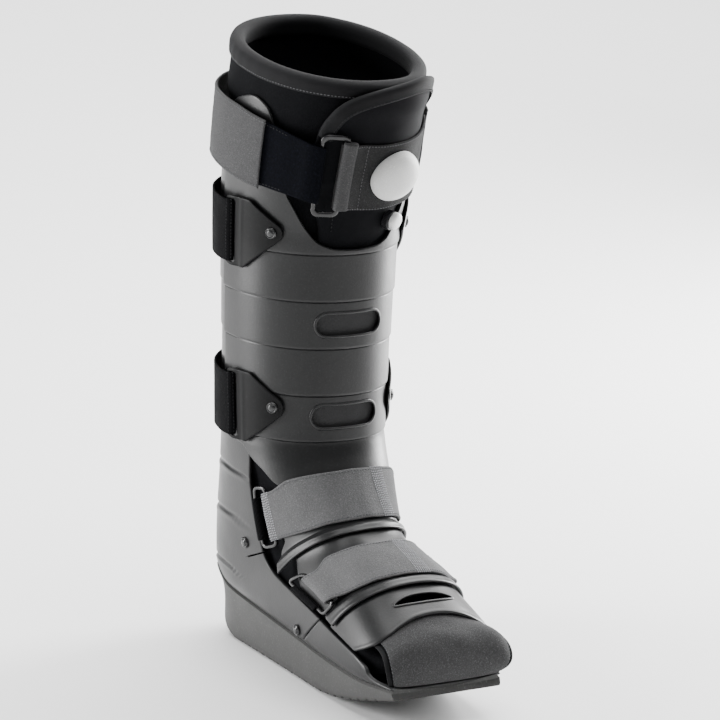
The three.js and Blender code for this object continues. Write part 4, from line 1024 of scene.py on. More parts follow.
# The sole's ledge under the shell, the round of its lower edge, and the start and depth of its heel's round
SOLE_LEDGE, SOLE_CORNER, HEEL_START, HEEL_DEPTH = 2.2, 2.2, 92.0, 42.0
# How far the tread reaches behind and before the middle, as shares of the length
TREAD_BACK, TREAD_FRONT = 0.26, 0.46


def make_outsole():
    rows = np.sort(np.concatenate([np.linspace(11.25, 17, 150), [11.26, 11.28, 16.99, 16.97]]))
    y, z = look(ROCKER, rows, 1), look(ROCKER, rows, 2)
    half = []
    seat = body(rows[:, None], np.linspace(180, 127, 12)[None], -SHELL_WALL / 2)
    step_out = mix(GAP * 2, SOLE_LEDGE, smooth(11.25, 12.4, rows))[:, None] * [[0.3, 0.75, 0.94, 1.0]]
    lip = body(rows[:, None], np.array([[127.0, 127.0, 127.3, 128.0]]), step_out)
    ledge = lip[:, -1]
    heel = np.sqrt(1 - (np.maximum(y - HEEL_START, 0) / HEEL_DEPTH) ** 2)
    ends = smooth(11.2, 11.36, rows) * smooth(17.06, 16.93, rows)
    for share in (0.08, 0.2, 0.4, 0.6, 0.78, 0.88):
        narrow = (1 - 0.03 * share ** 2) * mix(1, heel, share)
        side = np.stack([np.abs(ledge[:, 0]) * narrow, mix(ledge[:, 1], y, share),
                         mix(ledge[:, 2], z, share)], -1)
        half.append(side)
    for turn in np.radians([20, 45, 70]):
        corner = np.stack([(np.abs(ledge[:, 0]) * 0.97 - SOLE_CORNER * (1 - math.cos(turn))) * heel, y,
                           mix(z, mix(ledge[:, 2], z, 0.88), 1 - math.sin(turn))], -1)
        half.append(corner)
    flat = [np.stack([np.abs(ledge[:, 0]) * share * heel, y, z], -1) for share in (0.93, 0.7, 0.45, 0.2)]
    half = np.concatenate([seat, lip, np.stack(half + flat, 1)], 1)
    half[:, :, 0] = np.abs(half[:, :, 0])
    middle = np.stack([0 * y, y, z], -1)[:, None]
    rings = np.concatenate([half, middle, (half * [-1, 1, 1])[:, :0:-1]], 1)
    centre = rings.mean(1, keepdims=True)
    rings = centre + (rings - centre) * (0.985 + 0.015 * ends)[:, None, None]
    obj = rings_piece("outsole", rings, material("sole"), sharp=50)
    sizes = bpy.context.scene.boot_sizes
    pitch = sizes.tread_pitch / MM
    bar = groove_bar(sizes.tread_groove / MM)
    places = []
    count_back, count_front = (int(LENGTH * share / pitch + 0.5) for share in (TREAD_BACK, TREAD_FRONT))
    order = np.argsort(y)
    for step in list(range(-count_front, 0)) + list(range(count_back)):
        at = (step + 0.5) * pitch
        height = np.interp([at - 1, at, at + 1], y[order], z[order])
        along = unit(np.array([0, 2.0, height[2] - height[0]]))
        places.append(([0, at, height[1]], np.cross([1.0, 0, 0], along), [1.0, 0, 0]))
    cut_out(obj, [strew("tread_grooves", places, bar, "sole")])
    settle(obj, "sole", "outsole")


def groove_bar(width):
    """A long bar of rounded section, across the sole."""
    turn = full_turn(12)
    squared = [signed_power(wave, 0.5) for wave in (np.cos(turn), np.sin(turn))]
    ring = np.stack([0 * turn, squared[0] * width / 2, squared[1] * 2.0], -1)
    return rings_piece("groove_bar", np.stack([ring + [x, 0, 0] for x in (-80, 80)]), material("sole"))


def foot_plate(name, side_edge, top_edge, tip_edge, lift, cutters=()):
    """A plate over the foot, whose lower edge lifts over the next one."""
    depth = np.concatenate([spaced(46, 60, 0.9)[:-4] * 3.2, np.linspace(3.2, 4, 10)[1:],
                            4 + spaced(7, 12, 0.9)[5:]])
    depth = np.unique(np.clip(np.concatenate([depth, 5 - np.array([0, 0.008, 0.03, 0.07])]), 0, 5))
    shares = spaced(104, 150, 0.9) * 2 - 1
    angles = shares[None] * np.broadcast_to(side_edge(depth / 5), depth.shape)[:, None]
    top, tip = top_edge(np.abs(angles)), look(tip_edge, np.abs(angles))
    d = depth[:, None]
    rows = np.where(d <= 3, mix(top, tip - 0.55, d / 3), np.where(d <= 4, mix(tip - 0.55, tip - 0.3, d - 3),
                                                                 mix(tip - 0.3, tip, d - 4)))
    rise = smooth(tip - 0.55, tip - 0.3, rows) * lift
    crown = 0.25 * smooth(tip - 0.16, tip - 0.07, rows) * smooth(tip + 0.01, tip - 0.05, rows)
    outer = GAP + PLATE_WALL + rise + crown
    obj, _ = layer(name, rows, angles, GAP + rise, outer, material("shell"), 1.1)
    if cutters:
        cut_out(obj, cutters)
    settle(obj, "shell", name)


def make_plates():
    first_row = INSTEP_SIDE[0, 0]
    foot_plate("instep_plate", lambda depth: look(INSTEP_SIDE, mix(first_row, 12.5, depth)),
               lambda angle: first_row + 0 * angle, INSTEP_TIP, PLATE_WALL + PLATE_LIFT)
    foot_plate("midfoot_plate", lambda depth: mix(59, 74, smooth(0, 0.35, depth)),
               lambda angle: look(INSTEP_TIP, angle) - 0.1, MIDFOOT_TIP, PLATE_WALL + PLATE_LIFT)
    turn = np.radians(np.linspace(0, 360, 96, endpoint=False))
    t = signed_power(np.cos(turn), 0.8)
    upper, lower = 15.18 + 0.2 * t ** 2, 15.52 + 0.03 * (1 - t ** 2)
    open_ = signed_power(np.sin(turn), 0.45)
    rows = (upper + lower) / 2 + open_ * (lower - upper) / 2
    rings = np.stack([body(rows, t * 21, offset) for offset in (-PLATE_WALL, PLATE_WALL * 3)])
    cutter = rings_piece("toe_slot", rings, material("shell"))
    foot_plate("toe_plate", lambda depth: 78 + 0 * depth, lambda angle: look(MIDFOOT_TIP, angle) - 0.14,
               TOE_TIP, 0, [cutter])
    points, normals = body(rows, t * 21.4, GAP + PLATE_WALL + 0.25), outward(rows, t * 21.4)
    settle(wire("toe_slot_rim", points, normals, 0.9, 0.7, material("shell")), "shell")


# Soft liner and flap

def make_liner():
    rows = rows_between(0, 15.9, 3.4, 90)
    angles = np.linspace(-180, 180, 168, endpoint=False)
    grid = rows[:, None] + 0 * angles
    puff = 0.35 * ripple(body(grid, angles[None]), 34, 5) * smooth(1.3, 0.9, grid)
    outer = body(grid, angles[None], liner_outer(grid, angles[None]) + puff)
    inner_rows = np.concatenate([np.linspace(0, 1, 8), rows_between(1.1, 15.9, 6.0, 90)])
    inner_grid = inner_rows[:, None] + 0 * angles
    cover = np.where(inner_grid > 1, -GAP, 0)
    fold_in = np.minimum(liner_outer(inner_grid, angles[None]), cover) - LINER_WALL
    wrinkle = 0.7 * ripple(body(inner_grid, angles[None]), 40, 9) * smooth(0.4, 1.2, inner_grid)
    inner = body(inner_grid, angles[None], fold_in + wrinkle)

    def drawn_in(row, offset, shrink):
        line = body(row, angles, liner_outer(row, angles) + offset)
        return line.mean(0) + (line - line.mean(0)) * shrink

    tip = [drawn_in(16.65, -LINER_WALL / 2, 0.75), drawn_in(16.4, -LINER_WALL / 4, 0.95)]
    end = [drawn_in(16.15, -LINER_WALL, 0.9), drawn_in(16.3, -LINER_WALL, 0.6)]
    rings = np.concatenate([np.stack(tip), outer[::-1], inner, np.stack(end)])
    obj = rings_piece("liner", rings, material("liner"), uv=True)
    settle(obj, "liner_cloth", "liner")


def make_collar():
    angles = np.linspace(-180, 180, 300, endpoint=False)
    pitch = float(row_pitch(0.2, 90))
    profile = np.array([
        [-10.0, 0.5], [-10.3, 1.2], [-8.6, 2.1], [-5.0, 2.7], [-1.0, 2.7], [1.8, 1.6], [3.3, -0.6],
        [3.9, -3.2], [3.3, -6.0], [1.6, -7.8], [-1.5, -8.6], [-5.0, -8.5], [-8.6, -8.1], [-10.2, -7.4],
        [-9.8, -6.6], [-6.0, -6.5], [-0.6, -6.4], [0.3, -3.2], [-0.6, 0.3], [-6.0, 0.45],
    ])
    line = curve_through(profile, 0.7, closed=True)
    rows = -line[None, :, 0] / pitch
    offset = line[None, :, 1] * (1 + 0 * angles[:, None])
    pull = ripple(body(0.1, angles), 17, 4)[:, None] * 0.22
    rings = body(rows + 0 * angles[:, None], angles[:, None], offset + np.where(offset > 1, pull, 0))
    obj = rings_piece("collar_binding", rings, material("binding"), closed=True, uv=True)
    settle(obj, "binding_cloth", "collar_binding")
    seam = np.linspace(-180, 180, 500)
    row = 8.4 / pitch
    sew("collar_stitches", [(body(row, seam, 2.0), outward(row, seam))], "binding_cloth", width=0.9)


# The flap's rounded upper corner on the boot's left side: row, degrees from the front
FLAP_CORNER = np.array([
    [-0.11, 26], [-0.06, 33], [0.04, 42], [0.17, 51], [0.34, 59], [0.58, 66], [0.9, 71], [1.3, 74], [4.3, 80],
])
# The flap's bound edge from its lower end on the boot's right to its left, in rows and degrees, and about
# how many millimetres a row is there
FLAP_EDGE = np.array([
    [1.26, -32], [1.0, -30.6], [0.81, -28.6], [0.6, -26], [0.43, -22.5], [0.3, -18.5], [0.18, -13],
    [0.07, -6], [-0.02, 2], [-0.08, 11], [-0.11, 20], [-0.1, 27], [-0.05, 34], [0.04, 42], [0.17, 51],
    [0.34, 59], [0.52, 64], [0.75, 68.5], [1.0, 72],
])
FLAP_PITCH = 36


def make_flap():
    rows = np.concatenate([[-0.11, -0.105, -0.09], rows_between(-0.07, 4.3, 2.4, 20)])
    left = look(FLAP_LEFT, rows)[:, None]
    right = np.minimum(look(FLAP_RIGHT, rows), look(FLAP_CORNER, rows))[:, None]
    angles = mix(left, right, spaced(52, 90, 1.6)[None])
    grid = rows[:, None] + 0 * angles
    inner = flap_inner(grid, angles)
    outer = inner + FLAP_WALL + ripple(body(grid, angles), 32, 12) * 0.3
    obj, face = layer("liner_flap", grid, angles, inner, outer, material("flap"), 1.6)
    settle(obj, "liner_cloth", "liner_flap")
    seam = np.linspace(3.0, 3.5, 40)
    sew("flap_stitches", [face.line("right", 5.0, 0.05, 0.9),
                          (body(seam, -17, flap_inner(seam, -17) + FLAP_WALL + 0.3), outward(seam, -17))],
        "liner_cloth", "dark_thread")

    edge = curve_through(FLAP_EDGE * [FLAP_PITCH, 1], 1.0) / [FLAP_PITCH, 1]
    rows, angles = edge[:, 0], edge[:, 1]
    points, normals = body(rows, angles, flap_inner(rows, angles)), outward(rows, angles)
    into = unit(np.cross(unit(np.gradient(points, axis=0)), normals))
    top = FLAP_WALL + GAP * 2
    profile = curve_through(np.array([
        [8.5, top], [4.2, top - 0.1], [0.6, top - 0.2], [-0.4, top - 1.3], [-0.4, GAP + 0.2],
        [-1.0, GAP - 0.1], [-1.9, GAP + 0.6], [-2.2, top - 1.0], [-1.4, top + 0.9], [0.7, top + TAPE + 0.2],
        [4.2, top + TAPE + 0.3], [8.4, top + TAPE - 0.1], [9.0, top + 0.7],
    ]), 0.6, closed=True)
    rings = points[:, None] + into[:, None] * profile[None, :, :1] + normals[:, None] * profile[None, :, 1:]
    obj = rings_piece("flap_binding", rings, material("binding"), uv=True)
    settle(obj, "binding_cloth", "flap_binding")
    seam = points + into * 7.2 + normals * (top + TAPE + 0.15)
    sew("flap_binding_stitches", [(seam, normals)], "binding_cloth", "dark_thread", width=0.8)


# The toe cover's profile: the row it leaves, the turn round the toes and how far it swells
COVER_PROFILE = [(15.7, 0, 0), (15.9, 0, 0), (16.12, 0, 0.6), (16.32, 0, 1.2), (16.5, 12, 2.6),
                 (16.6, 36, 6.0), (16.6, 62, 6.6), (16.6, 80, 3.2), (16.6, 90, 0.4)]
# Its sides in degrees, and how much wider it is on the left side
COVER_SIDE, COVER_WIDER = 54.0, 5.0


def cover_control(row, turn, angle, offset):
    """One control point of the toe cover's curve, turned down from the plates to the sole's lip."""
    start = body(row, angle, offset - GAP / 2)
    turn = math.radians(turn)
    lip = float(body(LAST_ROW, 180, -SHELL_WALL)[2]) + GAP * 2
    bottom = lip - offset * 0.15
    front = body(16.6, 0, offset)[..., 1]
    reach = (LENGTH * 0.038 + offset * math.sin(turn) - (start[..., 1] - front) * 0.8) * math.sin(turn)
    height = bottom + (start[..., 2] - bottom) * math.cos(turn) ** 0.85
    return np.stack([start[..., 0], start[..., 1] - reach, height], -1)


def cover_point(share, angle, offset):
    """Places of the toe cover: share 0 lies under the toe plate and 1 above the sole's lip."""
    share, angle = np.broadcast_arrays(np.asarray(share, float), np.asarray(angle, float))
    wider = COVER_WIDER * smooth(16, 46, angle)
    control = [cover_control(row, turn, angle, offset + swell + wider * min(swell, 3) / 3)
               for row, turn, swell in COVER_PROFILE]
    control = np.stack([control[0]] * 2 + control + [control[-1]] * 2)
    spans = len(control) - 3
    i = np.minimum((share * spans).astype(int), spans - 1)
    t = (share * spans - i)[..., None]
    weights = [(1 - t) ** 3, 3 * t ** 3 - 6 * t ** 2 + 4, -3 * t ** 3 + 3 * t ** 2 + 3 * t + 1, t ** 3]
    place = np.indices(share.shape)
    return sum(weight / 6 * control[(i + k, *place)] for k, weight in enumerate(weights))


def make_toe_cover():
    steps = spaced(64, 60, 1.8)[:, None]
    angles = (spaced(74, 80, 1.8)[None] * 2 - 1) * COVER_SIDE
    swell = 0.35 * ripple(cover_point(steps, angles, 0.0), 26, 21)
    face = cover_point(steps, angles, 0.0)
    back = cover_point(steps, angles, -COVER_WALL)
    face = face + unit(face - back) * swell[..., None]
    obj, outer = between("toe_cover", face, back, material("cover"), 1.9)
    settle(obj, "liner_cloth", "toe_cover")
    for side, name in SIDES:
        at = np.linspace(0, 1, 90)
        middle = cover_point(at, side * (COVER_SIDE + 4.6), -COVER_WALL / 2)
        inside = cover_point(at, side * (COVER_SIDE + 1.5), -COVER_WALL / 2)
        up = unit(cover_point(at, side * (COVER_SIDE + 4.6), COVER_WALL / 2) - middle)
        out = unit(middle - inside)
        turn = full_turn(18)
        rings = (middle[:, None] + out[:, None] * (np.cos(turn) * 1.9)[None, :, None]
                 + up[:, None] * (np.sin(turn) * 2.0)[None, :, None])
        settle(rings_piece(f"toe_binding_{name}", rings, material("binding"), uv=True), "binding_cloth",
               f"toe_binding_{name}")
    sew("toe_cover_stitches", [outer.line("left", 1.6), outer.line("right", 1.6)], "liner_cloth")


# Straps

PAD_OVER = GAP + FLAP_WALL + FLAP_GAP + PAD_WALL / 2
BLACK_OVER = GAP + FLAP_WALL + FLAP_GAP + WEBBING / 2
RING_OVER = PAD_OVER + PAD_WALL / 2 + THREAD_GAP + RING_WIRE
GREY_OVER = PAD_OVER + PAD_WALL / 2 + GAP + STRAP_WALL / 2
# Degrees of the top ring's two bars, one in the pad's loop and one in the black strap's
PAD_BAR, BLACK_BAR = -17.0, -30.5
# The rolled edge of the pad: its rows, half width and half depth
ROLL_ROWS, ROLL_WIDTH, ROLL_DEPTH = (1.36, 2.95), 5.4, 3.0


def ring_loop(name, first, second, upper_row, lower_row, nodes, width=1.45, depth=1.35, wide=None):
    """A strap loop between two bars, each at its own degrees and offset, wider at its ends."""
    middle = (upper_row + lower_row) / 2
    pitch = float(row_pitch(middle, first[0]))
    across = abs(second[0] - first[0]) * float(bar_pitch(middle, first[0])) / 2
    loop = rounded_loop((lower_row - upper_row) / 2 * pitch, across, min(across * 0.8, 4.5), 0.7)
    share = (loop[:, 0] / across + 1) / 2
    rows = middle + loop[:, 1] / pitch
    angles, offsets = mix(first[0], second[0], share), mix(first[1], second[1], share)
    points, normals = body(rows, angles, offsets), outward(rows, angles)
    tall = (lower_row - upper_row) / 2 * pitch
    widths = mix(width, wide or width, smooth(tall - 6, tall - 1, np.abs(loop[:, 1])))
    settle(wire(name, points, normals, widths, depth, material("ring"), 16), "ring", *nodes)


def make_top_strap():
    radius = RING_WIRE + THREAD_GAP + WEBBING / 2
    pitch = bar_pitch(2.2, BLACK_BAR)
    bend = fold((BLACK_BAR, RING_OVER), radius, pitch, (0, 45, 90, 135, 180))
    path = [[angle, BLACK_OVER] for angle in (-95, -85, -75, -66, -58)]
    path += [[-51, BLACK_OVER + 0.8], [-43, BLACK_OVER + 2.6], [-36, RING_OVER + radius * 0.88]]
    path += bend + [[-35.5, bend[4][1]]]
    obj, face = band("top_strap_black", path, WEBBING, round_edges(TOP_BLACK), material("black"), 0.3,
                     seed=31)
    settle(obj, "black_strap", "top_strap_black")
    sew("black_strap_stitches", [face.line("top", 2.6, 0.03, 0.55), face.line("bottom", 2.6, 0.03, 0.55)],
        "black_strap", "dark_thread")

    half = [[64, 0], [74, 0], [84, 0.2], [95, 0.2], [108, 0], [123, -0.6], [138, -1.8], [152, -3],
            [166, -3.8], [180, -4]]
    half = [[-angle, GREY_OVER + shift] for angle, shift in half]
    path = half + [[-360 - angle, offset] for angle, offset in half[-2::-1]]
    obj, face = band("top_strap_grey", path, STRAP_WALL, round_edges(TOP_GREY), material("grey"), 0.25,
                     seed=32)
    settle(obj, "grey_strap", "top_strap_grey")
    sew("grey_strap_stitches", [face.line("top", 2.4), face.line("bottom", 2.4)], "grey_strap", width=0.7)

    radius = RING_WIRE + THREAD_GAP + PAD_WALL / 2
    pitch = bar_pitch(2.2, PAD_BAR)
    bend = fold((PAD_BAR, RING_OVER), radius, pitch, (0, -45, -90, -135, -180))
    path = [[-13.5, bend[4][1]]] + bend[::-1] + [[-12.5, RING_OVER + radius * 0.6], [-8, PAD_OVER + 1.6]]
    path += [[angle, PAD_OVER] for angle in (-4, 4, 12, 20, 28, 36, 44, 52, 60, 68)]
    obj, face = band("front_pad", path, PAD_WALL, round_edges(PAD), material("pad"), 0.25, seed=33)
    settle(obj, "grey_strap", "front_pad")
    inside = [[0.17, 0.12], [0.28, 0.11], [0.5, 0.11], [0.72, 0.11], [0.93, 0.12]]
    box = curve_through(inside + [[0.93, 0.5], [0.93, 0.88]] + [[u, 1 - v] for u, v in inside[::-1]]
                        + [[0.17, 0.5], [0.17, 0.12]], 0.01)
    across = np.stack([np.full(30, 0.30), np.linspace(0.12, 0.88, 30)], -1)
    sew("pad_stitches", [face.path(box), face.path(across)], "grey_strap", width=0.8)
    ring_loop("top_ring", (BLACK_BAR, RING_OVER), (PAD_BAR, RING_OVER), 1.25, 3.08, ["top_ring"], wide=2.3)
    rows = np.linspace(*ROLL_ROWS, 64)
    beside = PAD_BAR + (ROLL_WIDTH + 0.1 - radius - PAD_WALL / 2) / pitch
    points, normals = body(rows, beside, RING_OVER + radius - 0.4), outward(rows, beside)
    roll = wire("pad_roll", points, normals, ROLL_WIDTH, ROLL_DEPTH, material("grey"), 28, closed=False)
    settle(roll, "grey_strap")


def make_bulb():
    base = PAD_OVER + PAD_WALL / 2 + GAP * 1.5
    row, angle, radius, height = 2.26, 16.5, 20.0, 12.0
    profile = curve_through([[0.55, 0], [0.97, 0], [1.0, 0.05], [0.985, 0.2], [0.93, 0.42], [0.82, 0.66],
                             [0.64, 0.85], [0.42, 0.955], [0.2, 0.995], [0.02, 1.0]], 0.03)
    turn = full_turn(96)
    share, rise = profile[:, :1], profile[:, 1:]
    rings = body(row + np.sin(turn) * radius * share / row_pitch(row, angle),
                 angle + np.cos(turn) * radius * share / degree_pitch(row, angle), base + rise * height)
    settle(rings_piece("pump_bulb", rings, material("bulb")), "bulb", "pump_bulb")


# Where the sewn band across each foot strap lies, as a share of its length
ANKLE_BAND, FOREFOOT_BAND = 0.60, 0.56


def make_foot_straps():
    radius = RING_WIRE + THREAD_GAP + STRAP_WALL / 2
    over = FRONT_OUTER + GAP + STRAP_WALL / 2
    ankle_bar, ankle_rear = (66.0, 1.6), (75.3, 1.2)
    bend = fold(ankle_bar, radius, bar_pitch(10.3, ankle_bar[0]), (0, 45, 90, 135, 180))
    path = [[angle, over] for angle in (0, 9, 18, 27, 36, 45, 53, 60)] + bend + [[63.2, bend[4][1]]]
    obj, face = band("ankle_strap", mirrored(path), STRAP_WALL, side_edges(ANKLE), material("strap"), 0.3,
                     seed=41)
    settle(obj, "grey_strap", "ankle_strap")
    length = face.across[len(face.across) // 2][-1]
    sew_ends("ankle_strap_stitches", face, 13.0, length * ANKLE_BAND, length - 22.0)

    fore_bar = (60.5, GAP + PLATE_WALL + GAP * 2 + STRAP_WALL / 2 + radius)
    fore_rear = (73.5, GAP + PLATE_WALL + THREAD_GAP + RING_WIRE)
    bend = fold(fore_bar, radius + GAP, bar_pitch(13.7, fore_bar[0]), (-10, 40, 90, 140, 180))
    path = [[angle, over] for angle in (0, 9, 18, 27, 36, 44)] + [[50, over + 1.6], [55, over + 4]]
    path += bend + [[56, bend[4][1]]]
    obj, face = band("forefoot_strap", mirrored(path), STRAP_WALL, side_edges(FOREFOOT), material("strap"),
                     0.3, seed=42)
    settle(obj, "grey_strap", "forefoot_strap")
    sew_ends("forefoot_strap_stitches", face, face.across[len(face.across) // 2][-1] * FOREFOOT_BAND)

    for side, name in SIDES:
        for strap, bars, ring_rows, tab_rows, rises in (
            ("ankle", (ankle_rear, ankle_bar), (9.4, 11.2), (9.7, 10.9), False),
            ("forefoot", (fore_rear, fore_bar), (12.92, 14.45), (13.2, 14.15), True),
        ):
            first, second = [(side * angle, offset) for angle, offset in bars]
            ring_loop(f"{strap}_ring_{name}", first, second, *ring_rows, [f"{strap}_ring_{name}"])
            make_tab(f"{strap}_chape_{name}", side, bars[0], *tab_rows, rises)


def make_tab(name, side, bar, upper_row, lower_row, rises_behind):
    """A short tab of webbing that comes from inside the shell's side and wraps a ring's rear bar."""
    pitch = bar_pitch((upper_row + lower_row) / 2, bar[0])
    radius = RING_WIRE + THREAD_GAP + WEBBING / 2 + GAP / 2
    inside = -SHELL_WALL - GAP * 2 - WEBBING / 2
    path = [[bar[0] + 19, inside], [bar[0] + 9, inside]]
    if rises_behind:
        path += [[bar[0] + radius / pitch + 1, inside + 1], [bar[0] + radius / pitch, 0]]
        path += fold(bar, radius, pitch, (80, 40, 0, -45))
    else:
        path += [[bar[0] + 3.6, inside], [bar[0], inside + 1.4]]
        path += fold(bar, radius, pitch, (-150, -100, -50, 0, 45))
    obj, _ = band(name, [[side * angle, offset] for angle, offset in path], WEBBING,
                  even_edges(upper_row, lower_row), material("webbing"), 0, step=0.5)
    settle(obj, "black_strap", name)


def lines_across(face, places, count):
    """Lines from edge to edge of a strap, at lengths along it."""
    length = face.across[len(face.across) // 2]
    shares = [float(np.interp(at, length, np.arange(len(length)) / (len(length) - 1))) for at in places]
    down = np.linspace(0.06, 0.94, count)
    return [face.path(np.stack([np.full(count, share), down], -1)) for share in shares]


# The lines of a sewn band and the millimetres between them
BAND_LINES, BAND_SPACING = 7, 1.8


def sew_ends(name, face, *starts):
    """A line along each edge, and bands of pale thread sewn across the strap, each from a length along it."""
    lines = [face.line("top", 2.4, 0.08, 0.92), face.line("bottom", 2.4, 0.08, 0.92)]
    sew(name, lines, "grey_strap", width=0.7)
    places = [start + (column - 1) * BAND_SPACING for start in starts for column in range(BAND_LINES)]
    sew(f"{name}_bands", lines_across(face, places, 30), "grey_strap", "pale_thread", spacing=1.8,
        length=1.15, width=1.0)


# Brackets, calf straps and rivets

BRACKET_HEIGHT, BRACKET_LENGTH, TIP_RADIUS = 56.0, 48.0, 8.5
TIP = (BRACKET_LENGTH - TIP_RADIUS, 5.0)
BRACKET_REAR = 88.0
BRACKET_OVER = FRONT_OUTER + BAND + GAP + BRACKET_WALL / 2
BRACKET_LIFT = WEBBING + GAP
BAR_WIDTH, SLOT_WIDTH, SLOT_HEIGHT = 3.0, 5.0, 51.0
BRACKET_ROWS = {"upper": 3.73, "lower": 7.42}
CALF_WIDTH = 49.0


def bracket_place(side, centre, a, b):
    """From millimetres on a bracket, a forward from its rear edge and b up, to a row and an angle."""
    return centre - b / row_pitch(centre, 90), side * (BRACKET_REAR - a / degree_pitch(centre, 70))


def bracket_offset(a):
    """The bracket rises towards its rear bar, so that the strap can pass under it."""
    return BRACKET_OVER + smooth(BAR_WIDTH + SLOT_WIDTH + 4, BAR_WIDTH, a) * BRACKET_LIFT


def bracket_edge(a, sign, corner_a):
    """Height of the upper or lower edge: straight from a round corner, then a line to the round tip."""
    corner_b = sign * BRACKET_HEIGHT / 2
    distance = math.hypot(TIP[0] - corner_a, TIP[1] - corner_b)
    slope = math.atan2(TIP[1] - corner_b, TIP[0] - corner_a) + sign * math.asin(TIP_RADIUS / distance)
    touch = corner_a + math.cos(slope) * math.sqrt(distance ** 2 - TIP_RADIUS ** 2)
    line = corner_b + np.tan(slope) * (a - corner_a)
    round_tip = TIP[1] + sign * np.sqrt(np.maximum(TIP_RADIUS ** 2 - (a - TIP[0]) ** 2, 0))
    soft = 3.0 - np.sqrt(np.maximum(9.0 - np.maximum(3.0 - a, 0) ** 2, 0))
    near = corner_b - sign * soft
    bend = smooth(corner_a - 4, corner_a + 4, a)
    return np.where(a <= touch, mix(near, np.where(a < corner_a, corner_b, line), bend), round_tip)


def make_bracket(level, centre, name, side):
    u = spaced(58, 60, 1.0)
    a = np.sin(u * math.pi / 2) ** 0.9 * (BRACKET_LENGTH - 0.06)
    a[0] = 0.0
    share = spaced(42, 56, 0.9)[:, None]
    b = mix(bracket_edge(a, 1, 20), bracket_edge(a, -1, 15), share)
    rows, angles = bracket_place(side, centre, a[None] + 0 * b, b)
    offset = bracket_offset(a)[None] + 0 * b
    ridge = 0.45 * np.exp(-((a[None] - 13.5) / 1.1) ** 2)
    obj, _ = between(f"bracket_{level}_{name}", body(rows, angles, offset + BRACKET_WALL / 2 + ridge),
                     body(rows, angles, offset - BRACKET_WALL / 2), material("bracket"), 0.8)
    loop = rounded_loop(SLOT_HEIGHT / 2, SLOT_WIDTH / 2, 2.2, 1.0)
    slot_rows, slot_angles = bracket_place(side, centre, BAR_WIDTH + SLOT_WIDTH / 2 + loop[:, 0], loop[:, 1])
    rings = np.stack([body(slot_rows, slot_angles, reach) for reach in (1.0, BRACKET_OVER * 3)])
    cut_out(obj, [rings_piece("bracket_slot", rings, material("bracket"))])
    settle(obj, "bracket", f"bracket_{level}_{name}")


def make_calf_strap(level, centre):
    half = CALF_WIDTH / 2 / float(row_pitch(centre, 90))
    clear = BRACKET_WALL / 2 + THREAD_GAP + WEBBING / 2
    bar = BRACKET_OVER + BRACKET_LIFT
    end = [(-6, -clear), (BAR_WIDTH + 0.4, -clear), (BAR_WIDTH + 1.6, -1), (BAR_WIDTH + 1.6, 1),
           (BAR_WIDTH + 0.4, clear), (-5, clear)]
    path = [[-float(bracket_place(1, centre, a, 0)[1]), bar + rise] for a, rise in end]
    path += [[-99, 8.2], [-110, 6.2], [-124, 4.2], [-150, 2.9], [-165, 2.6], [-180, 2.5]]
    path += [[-360 - angle, offset] for angle, offset in path[-2::-1]]
    obj, face = band(f"calf_strap_{level}", path, WEBBING, even_edges(centre - half, centre + half),
                     material("webbing"), 0.2, seed=51)
    settle(obj, "black_strap", f"calf_strap_{level}")
    length = face.across[len(face.across) // 2][-1]
    upright = lines_across(face, (17.0, 21.0, length - 21.0, length - 17.0), 40)
    sew(f"calf_stitches_{level}", upright, "black_strap", "dark_thread")


# A rivet head with a raised centre in a ring-shaped dip
RIVET_PROFILE = [(0, 0), (4.3, 0), (4.4, 0.35), (4.15, 0.9), (3.6, 1.25), (3.25, 1.2), (3.05, 1.05),
                 (2.85, 1.2), (2.5, 1.7), (1.9, 1.95), (1.0, 2.08), (0, 2.1)]


def make_rivets():
    places = {}
    for side, name in SIDES:
        for level, centre in BRACKET_ROWS.items():
            row, angle = bracket_place(side, centre, *TIP)
            seat = BRACKET_OVER + BRACKET_WALL / 2 + GAP
            places[f"bracket_rivet_{level}_{name}"] = (float(row), float(angle), seat)
        places[f"flap_rivet_rear_{name}"] = (10.86, side * 88.0, GAP)
        places[f"flap_rivet_front_{name}"] = (14.09, side * 100.0, GAP)
    shape = rings_piece("rivet_head", turned(RIVET_PROFILE, 32), material("rivet"), sharp=40)
    spots = [(body(*place), outward(*place[:2]), [0.0, 0.2, 1.0]) for place in places.values()]
    settle(strew("rivets", spots, shape, "rivet"), "rivet", *places)


# The valve's place on the flap, just over the front shell, and its ring, grip ridge and cap: radius and height
VALVE_ROW, VALVE_ANGLE, VALVE_RADIUS, RIDGE_REACH = 3.36, 25.0, 6.9, 6.95
VALVE_PROFILE = [(0, 0), (6.6, 0), (VALVE_RADIUS, 0.3), (VALVE_RADIUS, 5.0), (6.5, 5.5), (5.2, 5.5),
                 (5.0, 5.2), (0, 5.2)]
RIDGE_PROFILE = [(0.02, 0), (0.42, 0.2), (0.5, 0.6), (0.5, 4.3), (0.42, 4.8), (0.02, 5.0)]
CAP_PROFILE = [(0.02, 0), (6.1, 0), (6.4, 0.3), (6.4, 2.6), (6.1, 3.5), (5.2, 4.2), (3.5, 4.6), (1.6, 4.75),
               (0.02, 4.78)]


